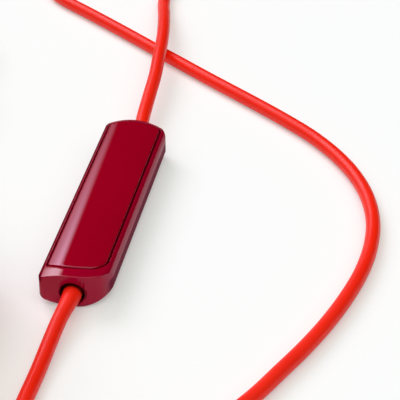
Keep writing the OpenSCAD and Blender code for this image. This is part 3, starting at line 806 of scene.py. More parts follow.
@dataclass(frozen=True)
class Finish:
    """A surface finish: two close colours, a roughness range, a grain and a little dust."""

    name: str
    slot: str
    colour: Colour
    second: Colour
    least_rough: float
    most_rough: float
    grain_depth: float
    grain_per_metre: float = 6000.0
    drift_per_metre: float = 90.0
    dust: float = 0.0
    dust_colour: Colour = (0.45, 0.42, 0.4)
    scratches: float = 0.0
    metallic: float = 0.0
    lacquered: bool = False
    coat_rough: float = 0.02
    scratch_loss: float = 0.08
    sockets: tuple[tuple[str, object], ...] = ()

    def material(self) -> bpy.types.Material:
        """The finish as a material, which is made once.

        Returns:
            The material.
        """
        label = f"{self.name}_finish"
        if label in bpy.data.materials:
            return bpy.data.materials[label]
        made = bpy.data.materials.new(label)
        made.use_nodes = True
        made.diffuse_color = (*self.colour, 1.0)
        net = Net(made.node_tree)
        shader = made.node_tree.nodes["Principled BSDF"]
        net.fill(shader, {"Metallic": self.metallic, **dict(self.sockets)})
        scales = {"Grain per metre": self.grain_per_metre, "Drift per metre": self.drift_per_metre}
        grain = GRAIN.use(net, scales)
        marks = HANDLING.use(net, {"Least": self.least_rough, "Most": self.most_rough})
        drift = net.ramp(grain.outputs["Drift"], 0.35, 0.65)
        colour = self.pattern(net, net.mixed(self.colour, self.second, drift))
        if self.dust > 0:
            settled = DUST.use(net, {"Amount": self.dust}).outputs["Mask"]
            colour = net.mixed(colour, self.dust_colour, settled)
        height, scratch = self.relief(net, grain.outputs["Height"]), marks.outputs["Scratch"]
        if self.scratches > 0:
            height = net.maths("MULTIPLY_ADD", scratch, -self.scratches, height)
        bump = net.add("ShaderNodeBump")
        net.fill(bump, {"Strength": 1.0, "Distance": self.grain_depth, "Height": height})
        rough, normal = marks.outputs["Roughness"], bump.outputs["Normal"]
        net.fill(shader, {"Base Color": colour, "Roughness": rough, "Normal": normal})
        if self.lacquered:
            coat = {"Coat Roughness": self.coat_rough, "Coat Weight": self.lacquer(net, scratch)}
            net.fill(shader, {"Specular IOR Level": 0.0, **coat})
        return made

    def pattern(self, net: Net, colour: Socket) -> Socket:
        """What the finish draws over its plain colour: nothing, unless it says otherwise."""
        return colour

    def relief(self, net: Net, height: Socket) -> Socket:
        """The height that the surface is embossed with: its grain, unless it says otherwise."""
        return height

    def lacquer(self, net: Net, scratch: Socket) -> Socket:
        """How full the clear coat is: a little less along a scratch."""
        return net.maths("MULTIPLY_ADD", scratch, -self.scratch_loss, 1.0)

    def dress(self, piece: bpy.types.Object) -> bpy.types.Object:
        """Gives a piece this finish all over.

        Args:
            piece: The piece.

        Returns:
            The same piece.
        """
        piece.data.materials.clear()
        piece.data.materials.append(self.material())
        return piece


@dataclass(frozen=True)
class Gauze(Finish):
    """Fine woven metal gauze, with its holes drawn dark."""

    holes_per_metre: float = 3600.0
    hole_colour: Colour = (0.01, 0.01, 0.011)

    def pattern(self, net: Net, colour: Socket) -> Socket:
        """Darkens the holes between the wires.

        Args:
            net: The material's nodes.
            colour: The wires' colour.

        Returns:
            The colour with the holes in it.
        """
        dots = net.add("ShaderNodeTexVoronoi", feature="F1")
        net.fill(dots, {"Vector": net.place(), "Scale": self.holes_per_metre, "Randomness": 0.0})
        return net.mixed(self.hole_colour, colour, net.ramp(dots.outputs["Distance"], 0.25, 0.4))


@dataclass(frozen=True)
class Ribbed(Finish):
    """A rubber band with shallow ribs across it."""

    wave_scale: float = 120.0
    rib_share: float = 3.0

    def relief(self, net: Net, height: Socket) -> Socket:
        """Adds the ribs to the grain.

        Args:
            net: The material's nodes.
            height: The grain's height.

        Returns:
            The height of grain and ribs together.
        """
        wave = net.add("ShaderNodeTexWave", wave_type="BANDS", bands_direction="Y")
        net.fill(wave, {"Vector": net.place(), "Scale": self.wave_scale})
        return net.maths("MULTIPLY_ADD", wave.outputs["Fac"], self.rib_share, height)


@dataclass(frozen=True)
class ThinCoatPaintedShading(Finish):
    """A lacquer that runs thin on the right wall, near end and bevel, and stays out of the recesses, with
    painted shading: painted shade on the lower right wall, the bevel and the recesses, painted light on the
    near end and a painted reflection tint on the right edge.
    """

    edge_loss: float = 0.6
    low_loss: float = 0.28
    end_loss: float = 0.6
    bevel_loss: float = 0.5
    recess_h: float = 0.0023
    recess_r: float = 0.00195
    recess_rim: float = 0.00002
    recess_y: float = 0.02012
    recess_depth: float = 0.0003
    # how dark the painted shade in the recesses is, as a share of the plain colour
    recess_shade_share: float = 0.3
    low_heights: Spot = (0.0027, 0.0031)
    bevel_heights: Spot = (0.0034, 0.0039)
    # painted shade: a darker crimson on the lower right side wall
    side_painted_shade: Colour = (0.186, 0.0005, 0.03)
    # painted reflection tint: a bluer crimson where the right edge faces +X and reflects the floor
    edge_reflection_tint: Colour = (0.345, 0.0005, 0.045)
    # painted light: a lighter crimson on the near end
    end_painted_light: Colour = (0.4, 0.0005, 0.036)
    # painted shade: a darker crimson on the left rim's bevel
    bevel_painted_shade: Colour = (0.17, 0.0004, 0.012)

    def recess(self, net: Net) -> Socket:
        """Where the surface is a recess's wall.

        Args:
            net: The material's nodes.

        Returns:
            The mask.
        """
        x, y, z = net.split(net.place())
        squares = (net.maths("POWER", part, 2.0) for part in (x, net.maths("SUBTRACT", z, self.recess_h)))
        far = net.maths("SQRT", net.maths("ADD", *squares))
        near_axis = net.ramp(far, self.recess_r, self.recess_r + self.recess_rim, 1.0, 0.0)
        inner = self.recess_y - self.recess_depth
        behind_face = net.ramp(net.maths("ABSOLUTE", y), inner, self.recess_y, 1.0, 0.0)
        return net.maths("MULTIPLY", near_axis, behind_face)

    def end(self, net: Net) -> Socket:
        """Where the surface is the near end, as a mask."""
        return net.facing(Axis.Y, -0.35, -0.7)

    def side(self, net: Net) -> Socket:
        """Where the surface is the lower part of the right side wall, as a mask."""
        low = net.ramp(net.split(net.place())[Axis.Z.value], *self.low_heights, 1.0, 0.0)
        return net.maths("MULTIPLY", net.facing(Axis.X, 0.87, 0.97), low)

    def bevel(self, net: Net) -> Socket:
        """Where the surface is the left rim's bevel, as a mask."""
        high = net.ramp(net.split(net.place())[Axis.Z.value], *self.bevel_heights)
        return net.maths("MULTIPLY", net.facing(Axis.X, -0.36, -0.46), high)

    def pattern(self, net: Net, colour: Socket) -> Socket:
        """Paints light and shade into the colour: a painted reflection tint on the right edge, painted light
        on the near end and painted shade on the side wall, bevel and recesses.

        Args:
            net: The material's nodes.
            colour: The plain colour.

        Returns:
            The colour with this painted light and shade in it.
        """
        # painted shade in the recesses: the plain colour darkened
        recess_painted_shade = tuple(part * self.recess_shade_share for part in self.colour)
        tones = (
            # painted reflection tint on the right edge, painted light on the near end
            (net.facing(Axis.X, 0.75, 0.95), self.edge_reflection_tint), (self.end(net), self.end_painted_light),
            # painted shade on the lower right wall and on the left bevel
            (self.side(net), self.side_painted_shade), (self.bevel(net), self.bevel_painted_shade),
            # painted shade in the recesses
            (self.recess(net), recess_painted_shade),
        )
        for mask, tone in tones:
            colour = net.mixed(colour, tone, mask)
        return colour

    def lacquer(self, net: Net, scratch: Socket) -> Socket:
        """How full the clear coat is.

        Args:
            net: The material's nodes.
            scratch: Where there is a scratch.

        Returns:
            The coat's weight.
        """
        losses = (
            (net.facing(Axis.X, 0.8, 0.98), self.edge_loss), (self.side(net), self.low_loss),
            (self.end(net), self.end_loss), (self.bevel(net), self.bevel_loss),
        )
        full = super().lacquer(net, scratch)
        for mask, loss in losses:
            full = net.maths("MULTIPLY_ADD", mask, -loss, full)
        return net.maths("MULTIPLY", full, net.maths("SUBTRACT", 1.0, self.recess(net)))


@dataclass(frozen=True)
class ShadedRoot(Finish):
    """A cord's finish with painted shade: it turns dark inside the recess that the cord comes out of."""

    inner_y: float = -0.0205
    outer_y: float = -0.02
    darkest: float = 0.9
    # the colour of the painted shade inside the recess
    dark: Colour = (0.1, 0.003, 0.001)

    def pattern(self, net: Net, colour: Socket) -> Socket:
        """Paints shade on what lies inside the recess.

        Args:
            net: The material's nodes.
            colour: The plain colour.

        Returns:
            The colour with painted shade on its root.
        """
        along = net.split(net.place())[Axis.Y.value]
        return net.mixed(colour, self.dark, net.ramp(along, self.inner_y, self.outer_y, 0.0, self.darkest))


CRIMSON = Finish(
    "gloss_crimson", "housing_crimson", (0.345, 0.0005, 0.019), (0.325, 0.0004, 0.0175), 0.1, 0.2, 2e-7,
    grain_per_metre=2600.0, drift_per_metre=60.0, lacquered=True,
)
# the housing's crimson: a thin coat in places, painted shade on the lower right wall, bevel and recesses,
# painted light on the near end, a painted reflection tint on the right edge
SHELL_CRIMSON = ThinCoatPaintedShading(**{**vars(CRIMSON), "name": "remote_crimson"})
BUTTON_CRIMSON = Finish(
    "button_crimson", "button_crimson", (0.345, 0.0003, 0.0135), (0.33, 0.0003, 0.013), 0.02, 0.035, 2e-7,
    grain_per_metre=2200.0, drift_per_metre=50.0,
    sockets=(("Specular IOR Level", 0.6), ("Specular Tint", (0.9, 0.68, 1.0, 1.0))),
)
JACKET = Finish(
    "cord_jacket", "cord_jacket", (0.985, 0.0165, 0.0018), (0.955, 0.014, 0.001), 0.36, 0.44, 4e-6,
    grain_per_metre=9000.0, drift_per_metre=120.0, sockets=(("Specular IOR Level", 0.3),),
)
# the cord jacket with painted shade where it lies inside the remote's recess
CORD_ROOT_SHADED = ShadedRoot(**{**vars(JACKET), "name": "cord_root"})
DARK_RUBBER = Finish(
    "dark_rubber", "dark_rubber", (0.16, 0.01, 0.012), (0.13, 0.008, 0.01), 0.45, 0.6, 8e-6, dust=0.12
)
RELIEF_RUBBER = Finish(
    "relief_rubber", "relief_rubber", (0.62, 0.02, 0.012), (0.57, 0.017, 0.01), 0.4, 0.55, 8e-6, dust=0.12
)
TIE_RUBBER = Ribbed(
    "tie_rubber", "tie_rubber", (0.012, 0.012, 0.014), (0.02, 0.02, 0.022), 0.5, 0.65, 1e-5, dust=0.2
)
BLACK_PLASTIC = Finish(
    "black_plastic", "black_plastic", (0.012, 0.012, 0.013), (0.018, 0.018, 0.02), 0.3, 0.42, 6e-6
)
TINNED_STEEL = Finish(
    "tinned_steel", "tinned_steel", (0.66, 0.66, 0.64), (0.55, 0.56, 0.56), 0.22, 0.36, 2e-6, metallic=1.0
)
BRIGHT_METAL = Finish(
    "bright_metal", "bright_metal", (0.78, 0.77, 0.75), (0.72, 0.71, 0.7), 0.14, 0.24, 1e-6, metallic=1.0
)
GOLD = Finish(
    "contact_gold", "contact_gold", (0.83, 0.58, 0.22), (0.78, 0.53, 0.2), 0.1, 0.2, 1e-6,
    metallic=1.0, scratches=0.4,
)
BOARD_GREEN = Finish(
    "circuit_board", "circuit_board", (0.01, 0.09, 0.035), (0.014, 0.12, 0.045), 0.25, 0.35, 4e-6
)
FILM = Finish(
    "diaphragm_film", "diaphragm_film", (0.55, 0.52, 0.47), (0.5, 0.47, 0.43), 0.2, 0.3, 4e-6
)
TIP_SILICONE = Finish(
    "tip_silicone", "tip_silicone", (0.66, 0.63, 0.61), (0.6, 0.57, 0.55), 0.36, 0.5, 4e-6, dust=0.05,
    sockets=(
        ("Subsurface Weight", 0.35), ("Subsurface Scale", 0.001), ("Subsurface Radius", (1.0, 0.8, 0.7)),
    ),
)
MESH_STEEL = Gauze(
    "mesh_steel", "bright_metal", (0.6, 0.6, 0.6), (0.5, 0.5, 0.5), 0.3, 0.4, 3e-6, metallic=1.0
)


def settle(
    piece: bpy.types.Object, finish: Finish, *nodes: str, body: Body = Body.EARPHONES
) -> bpy.types.Object:
    """Dresses a piece, fixes it to its body and lets it stand for CAD nodes.

    Args:
        piece: The piece, in place.
        finish: Its finish.
        nodes: The CAD nodes that it stands for.
        body: What it rides on.

    Returns:
        The same piece.
    """
    finish.dress(piece)
    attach(piece, body.value)
    if nodes:
        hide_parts(*nodes)
    log.info("%s: %d faces, rides on %s", piece.name, len(piece.data.polygons), body.value)
    return piece


def dress_node(name: str, finish: Finish) -> bpy.types.Object:
    """Gives a CAD node that stays in sight its finish.

    Args:
        name: The node's name.
        finish: Its finish.

    Returns:
        The node's object.
    """
    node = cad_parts[name]
    finish.dress(node)
    log.info("%s: the packed solid in %s", name, finish.name)
    return node


# ---------- Studio ----------
@dataclass(frozen=True)
class Glow:
    """A soft patch of light in the sky round the table, between two bearings and two heights."""

    label: str
    bearing: tuple[float, float, float, float]
    height: tuple[float, float, float, float]
    strength: float
    colour: Colour

    def value(self, net: Net, bearing: Socket, height: Socket) -> Socket:
        """How bright the patch is in the direction looked at.

        Args:
            net: The sky's nodes.
            bearing: The direction's bearing, clockwise from +Y.
            height: Its height above the horizon.

        Returns:
            The brightness.
        """
        rises, falls = net.ramp(bearing, *self.bearing[:2]), net.ramp(bearing, *self.bearing[2:], 1.0, 0.0)
        opens = net.ramp(height, *self.height[:2], 0.0, self.strength)
        shuts = net.ramp(height, *self.height[2:], 1.0, 0.0)
        across, upwards = net.maths("MULTIPLY", rises, falls), net.maths("MULTIPLY", opens, shuts)
        return net.maths("MULTIPLY", across, upwards)


@dataclass
class Studio:
    """The camera, the pale floor and the soft light round it."""

    eye: Point = (0.04970, -0.19106, 0.13677)
    bearing: float = 10.75
    pitch: float = 34.0
    lens: float = 150.9
    sensor: float = 36.0
    floor_size: float = 6.0
    floor_colour: Colour = (0.95, 0.95, 0.955)
    floor_rough: float = 0.9
    floor_white: float = 0.3
    clip: Spot = (0.01, 50.0)
    glows: tuple[Glow, ...] = ()

    def place_camera(self) -> bpy.types.Object:
        """Sets up the camera.

        Returns:
            The camera.
        """
        data = bpy.data.cameras.new("camera")
        data.lens, data.sensor_width = self.lens, self.sensor
        data.clip_start, data.clip_end = self.clip
        camera = bpy.data.objects.new("camera", data)
        bpy.context.scene.collection.objects.link(camera)
        round_by, down = math.radians(self.bearing), math.radians(self.pitch)
        level = math.cos(down)
        way = Vector((-math.sin(round_by) * level, math.cos(round_by) * level, -math.sin(down)))
        camera.location = self.eye
        camera.rotation_mode = "QUATERNION"
        camera.rotation_quaternion = way.to_track_quat("-Z", "Y")
        bpy.context.scene.camera = camera
        bpy.context.scene.view_settings.view_transform = "Standard"
        return camera

    def lay_floor(self) -> bpy.types.Object:
        """Lays the pale floor.

        Returns:
            The floor.
        """
        half = self.floor_size / 2
        mesh = bmesh.new()
        corners = ((-half, -half), (half, -half), (half, half), (-half, half))
        mesh.faces.new([mesh.verts.new((x, y, 0.0)) for x, y in corners])
        data = bpy.data.meshes.new("floor")
        mesh.to_mesh(data)
        mesh.free()
        floor = bpy.data.objects.new("floor", data)
        bpy.context.scene.collection.objects.link(floor)
        floor.data.materials.append(self.card())
        return floor

    def card(self) -> bpy.types.Material:
        """The floor's pale card, which looks whiter than it lights the object.

        Returns:
            The material.
        """
        made = bpy.data.materials.new("floor_card")
        made.use_nodes = True
        net, nodes = Net(made.node_tree), made.node_tree.nodes
        flat = {"Roughness": self.floor_rough, "Specular IOR Level": 0.0}
        shader = net.fill(nodes["Principled BSDF"], {"Base Color": (*self.floor_colour, 1.0), **flat})
        path = net.add("ShaderNodeLightPath")
        seen = path.outputs["Is Camera Ray"]
        for ray in ("Is Glossy Ray", "Is Transmission Ray"):
            seen = net.maths("MAXIMUM", seen, path.outputs[ray])
        share = net.maths("MULTIPLY", seen, self.floor_white)
        white = net.add("ShaderNodeEmission")
        both = net.add("ShaderNodeMixShader")
        net.fill(both, {0: share, 1: shader.outputs[0], 2: white.outputs[0]})
        net.fill(nodes["Material Output"], {"Surface": both.outputs[0]})
        return made

    def light_sky(self) -> bpy.types.World:
        """Lights the scene from all round, brighter and darker by direction.

        Returns:
            The world.
        """
        world = bpy.data.worlds.new("studio_sky")
        world.use_nodes = True
        bpy.context.scene.world = world
        net = Net(world.node_tree)
        x, y, z = net.split(net.add("ShaderNodeTexCoord").outputs["Generated"])
        bearing = net.maths("MULTIPLY", net.maths("ARCTAN2", x, y), 180 / math.pi)
        height = net.maths("MULTIPLY", net.maths("ARCSINE", z), 180 / math.pi)
        light: Socket | Colour = (0.0, 0.0, 0.0)
        for glow in self.glows:
            patch = net.add("ShaderNodeVectorMath", operation="SCALE")
            net.fill(patch, {0: glow.colour, "Scale": glow.value(net, bearing, height)})
            total = net.add("ShaderNodeVectorMath", operation="ADD")
            light = net.fill(total, {0: patch.outputs[0], 1: light}).outputs[0]
        net.fill(world.node_tree.nodes["Background"], {"Color": light})
        return world


ALL_ROUND = (-260.0, -200.0, 200.0, 260.0)
KEY_BEARING = (-80.0, -66.0, -28.8, -24.6)
WARM = (1.05, 0.95, 1.09)
COOL = (0.965, 1.045, 0.955)
SKY = (
    Glow("key, far left", KEY_BEARING, (17, 26, 50, 60), 2.0, WARM),
    Glow("key, its upper part", KEY_BEARING, (24, 31, 50, 60), 3.1, WARM),
    Glow("overhead", ALL_ROUND, (50, 66, 91, 95), 1.28, COOL),
    Glow("near right", (62, 95, 200, 260), (18, 38, 60, 74), 1.14, COOL),
    Glow("near left", (-260, -200, -98, -72), (18, 38, 60, 74), 0.74, COOL),
)


# ---------- Cords ----------
@dataclass
class Cords:
    """The four free lengths of cord, each a single tube from end to end."""

    diameter: float = 0.0021
    sides: int = 28
    spacing: float = 0.0009
    root_points: int = 7
    root_swell: float = 0.00028
    root_sink: float = 0.0002
    entry_h: float = 0.00235
    straight: float = 0.003
    anchor_y: float = 0.0188
    splitter_y: float = -0.0741
    branch_pitch: float = 0.0032
    socket_x: float = -0.011
    splitter_mid_h: float = 0.0028
    splitter_out_x: float = -0.031
    plug_x: float = -0.0346
    plug_h: float = 0.0038
    plug_boot_y: float = 0.004
    right_coil: Coil = Coil((-0.01345, -0.055), 0.0127, 0, -1, 2, 1)
    left_coil: Coil = Coil((0.0244, -0.062), 0.0127, 180, 1, 2, 1)
    main_coil: Coil = Coil((-0.02425, -0.027), 0.0132, 180, -1, 6, 11 / 6)
    made: dict[str, bpy.types.Object] = field(default_factory=dict)
    paths: dict[str, Ring] = field(default_factory=dict)

    def lay(self, name: str, route: Ring) -> bpy.types.Object:
        """Lays one cord along its route.

        Args:
            name: The cord's name.
            route: The points that it passes through.

        Returns:
            The cord.
        """
        line = smooth(route, self.spacing)
        self.paths[name] = line
        self.made[name] = tube(name, line, self.diameter / 2, self.sides)
        log.info("%s: %.1f mm long", name, line_length(line) * 1000)
        return self.made[name]

    def wound(self, coil: Coil, way: int) -> Ring:
        """A coil's line with its short straight runs at both ends.

        Args:
            coil: The coil.
            way: 1 where the cord runs in and out towards +Y, -1 where it runs towards -Y.

        Returns:
            The points.
        """
        line, run = coil.line(), Vector((0.0, way * coil.run, 0.0))
        return [line[0] - run, *line, line[-1] + run]

    def right_upper(self, bud_end: Vector, bud_way: Vector) -> bpy.types.Object:
        """The right branch from the remote up to its earbud.

        Args:
            bud_end: Where it goes into the earbud's relief.
            bud_way: The way that it comes out of there.

        Returns:
            The cord.
        """
        points = vectors([
            (0.0, self.anchor_y, self.entry_h), (0.0, 0.0215, 0.0024), (-0.00035, 0.026, 0.0026),
            (-0.00065, 0.0315, 0.0029), (-0.00095, 0.0372, 0.0032), (-0.00155, 0.0429, 0.0034),
            (-0.00215, 0.0485, 0.0034), (-0.00305, 0.054, 0.003), (-0.00415, 0.0595, 0.0023),
            (-0.00535, 0.065, 0.0014), (-0.00605, 0.0705, 0.0011), (-0.00545, 0.075, 0.0011),
            (-0.0028, 0.0786, 0.0011), (0.0015, 0.08, 0.0011), (0.008, 0.08, 0.0011),
            (0.015, 0.08, 0.0011), (0.0208, 0.08005, 0.0011), (0.0249, 0.081, 0.0011),
            (0.0275, 0.0835, 0.0011), (0.0283, 0.0865, 0.0011), (0.0274, 0.0896, 0.0011),
            (0.0249, 0.092, 0.0011),
        ])
        return self.lay("right_branch_upper", [*points, bud_end + bud_way * self.straight, bud_end])

    def right_lower(self) -> bpy.types.Object:
        """The right branch from the remote through its coil to the splitter.

        Returns:
            The cord.
        """
        points = vectors([
            (0.0, -self.anchor_y, self.entry_h), (0.0, -0.0215, 0.0023), (-0.00035, -0.0255, 0.002),
            (-0.00055, -0.03, 0.0015), (-0.00065, -0.035, 0.0011), (-0.00075, -0.0405, 0.0011),
            (-0.00075, -0.045, 0.0011), (-0.00075, -0.0495, 0.0013),
        ])
        tail = vectors([
            (-0.00075, -0.0614, 0.0038), (-0.00095, -0.0655, 0.0034), (-0.0025, -0.0693, 0.003),
            (-0.0056, -0.0719, 0.0028),
            (self.socket_x, self.splitter_y + self.branch_pitch / 2, self.splitter_mid_h),
        ])
        return self.lay("right_branch_lower", [*points, *self.wound(self.right_coil, -1), *tail])

    def flare(self) -> bpy.types.Object:
        """The cord's thicker root where it leaves the remote's near end.

        Returns:
            The root.
        """
        line = smooth(self.paths["right_branch_lower"][: self.root_points], self.spacing / 4)
        last = len(line) - 1
        sunk = [point - Vector((0, 0, self.root_sink * (1 - i / last) ** 2)) for i, point in enumerate(line)]
        piece = tube("near_root", sunk, self.diameter / 2 + HAIR, self.sides, self.root_swell)
        # its finish paints shade on it inside the recess
        return settle(piece, CORD_ROOT_SHADED)

    def left(self, bud_end: Vector, bud_way: Vector) -> bpy.types.Object:
        """The left branch from its earbud through its coil to the splitter.

        Args:
            bud_end: Where it goes into the earbud's relief.
            bud_way: The way that it comes out of there.

        Returns:
            The cord.
        """
        points = vectors([
            (-0.0271, 0.0726, 0.0011), (-0.0268, 0.07, 0.0011), (-0.026, 0.0676, 0.0011),
            (-0.0247, 0.0654, 0.0011), (-0.02275, 0.0636, 0.0011), (-0.01775, 0.06, 0.0011),
            (-0.01285, 0.0564, 0.0011), (-0.00795, 0.0527, 0.0011), (-0.00315, 0.049, 0.0011),
            (0.00175, 0.0453, 0.0011), (0.00665, 0.0416, 0.0011), (0.01155, 0.038, 0.0011),
            (0.01645, 0.0344, 0.0011), (0.02125, 0.0307, 0.0011), (0.02595, 0.0267, 0.0011),
            (0.03005, 0.0222, 0.0011), (0.03345, 0.0172, 0.0011), (0.03595, 0.0116, 0.0011),
            (0.03735, 0.0057, 0.0011), (0.03765, -0.0004, 0.0011), (0.03705, -0.0065, 0.0011),
            (0.03575, -0.0124, 0.0011), (0.03395, -0.0183, 0.0011), (0.03175, -0.024, 0.0011),
            (0.02925, -0.0295, 0.0011), (0.02665, -0.035, 0.0011), (0.0237, -0.04, 0.0011),
            (0.0205, -0.0447, 0.0011), (0.0172, -0.0491, 0.0011), (0.0141, -0.0533, 0.0012),
            (0.0122, -0.057, 0.0014),
        ])
        tail = vectors([
            (0.0114, -0.0684, 0.0037), (0.0095, -0.0722, 0.0032), (0.0062, -0.0748, 0.0029),
            (0.002, -0.0757, 0.0028), (-0.004, -0.0757, 0.0028),
            (self.socket_x, self.splitter_y - self.branch_pitch / 2, self.splitter_mid_h),
        ])
        start = [bud_end, bud_end + bud_way * self.straight]
        return self.lay("left_branch", [*start, *points, *self.wound(self.left_coil, -1), *tail])

    def main(self) -> bpy.types.Object:
        """The main cord from the splitter through its coil to the plug.

        Returns:
            The cord.
        """
        points = vectors([
            (self.splitter_out_x, self.splitter_y, self.splitter_mid_h), (-0.0335, -0.0736, 0.0025),
            (-0.0356, -0.0722, 0.0021), (-0.037, -0.0701, 0.0017), (-0.03745, -0.0676, 0.0014),
            (-0.03745, -0.062, 0.0011), (-0.03745, -0.055, 0.0011), (-0.03745, -0.048, 0.0011),
            (-0.03745, -0.041, 0.0011), (-0.03745, -0.035, 0.0012), (-0.03745, -0.0318, 0.0014),
        ])
        tail = vectors([
            (-0.03735, -0.0205, 0.0142), (-0.0371, -0.016, 0.0128), (-0.0366, -0.0115, 0.0107),
            (-0.0358, -0.007, 0.0083), (-0.035, -0.0028, 0.006), (-0.03465, 0.0006, 0.0044),
            (self.plug_x, self.plug_boot_y, self.plug_h),
        ])
        return self.lay("main_cord", [*points, *self.wound(self.main_coil, 1), *tail])

    def declare(
        self, name: str, far_end: str, lay: str, nodes: list[str], *with_pieces: bpy.types.Object
    ) -> None:
        """Fixes a cord to the earphones, gives it the cord jacket's finish and hides the CAD solids that it
        stands for.

        Args:
            name: The cord's name.
            far_end: What it ends in; not used.
            lay: How it lies; not used.
            nodes: The CAD solids that it stands for.
            with_pieces: The separate pieces on it; not used.
        """
        piece, line = self.made[name], self.paths[name]
        settle(piece, JACKET, *nodes)


@dataclass(frozen=True)
class BudPlace:
    """Where an earbud is, and which way it faces."""

    at: Point
    turn: float
    slope: float = 14.0
    stem_x: float = -0.0026
    stem_reach: float = 0.0072
    boot_l: float = 0.010

    def matrix(self) -> Matrix:
        """The earbud's own axes in the row's: made along +X, its relief towards -Y."""
        return aimed(self.at, self.turn) @ turn(self.slope, "X")

    def cord_end(self) -> Vector:
        """Where the cord goes into the relief."""
        return self.matrix() @ Vector((self.stem_x, -self.stem_reach - self.boot_l, 0.0))

    def cord_way(self) -> Vector:
        """The way that the cord leaves the relief."""
        return self.matrix().to_3x3() @ Vector((0.0, -1.0, 0.0))


RIGHT_PLACE = BudPlace((0.001, 0.0955, 0.00605), 90.0)
LEFT_PLACE = BudPlace((-0.0245, 0.0955, 0.00605), 0.0)


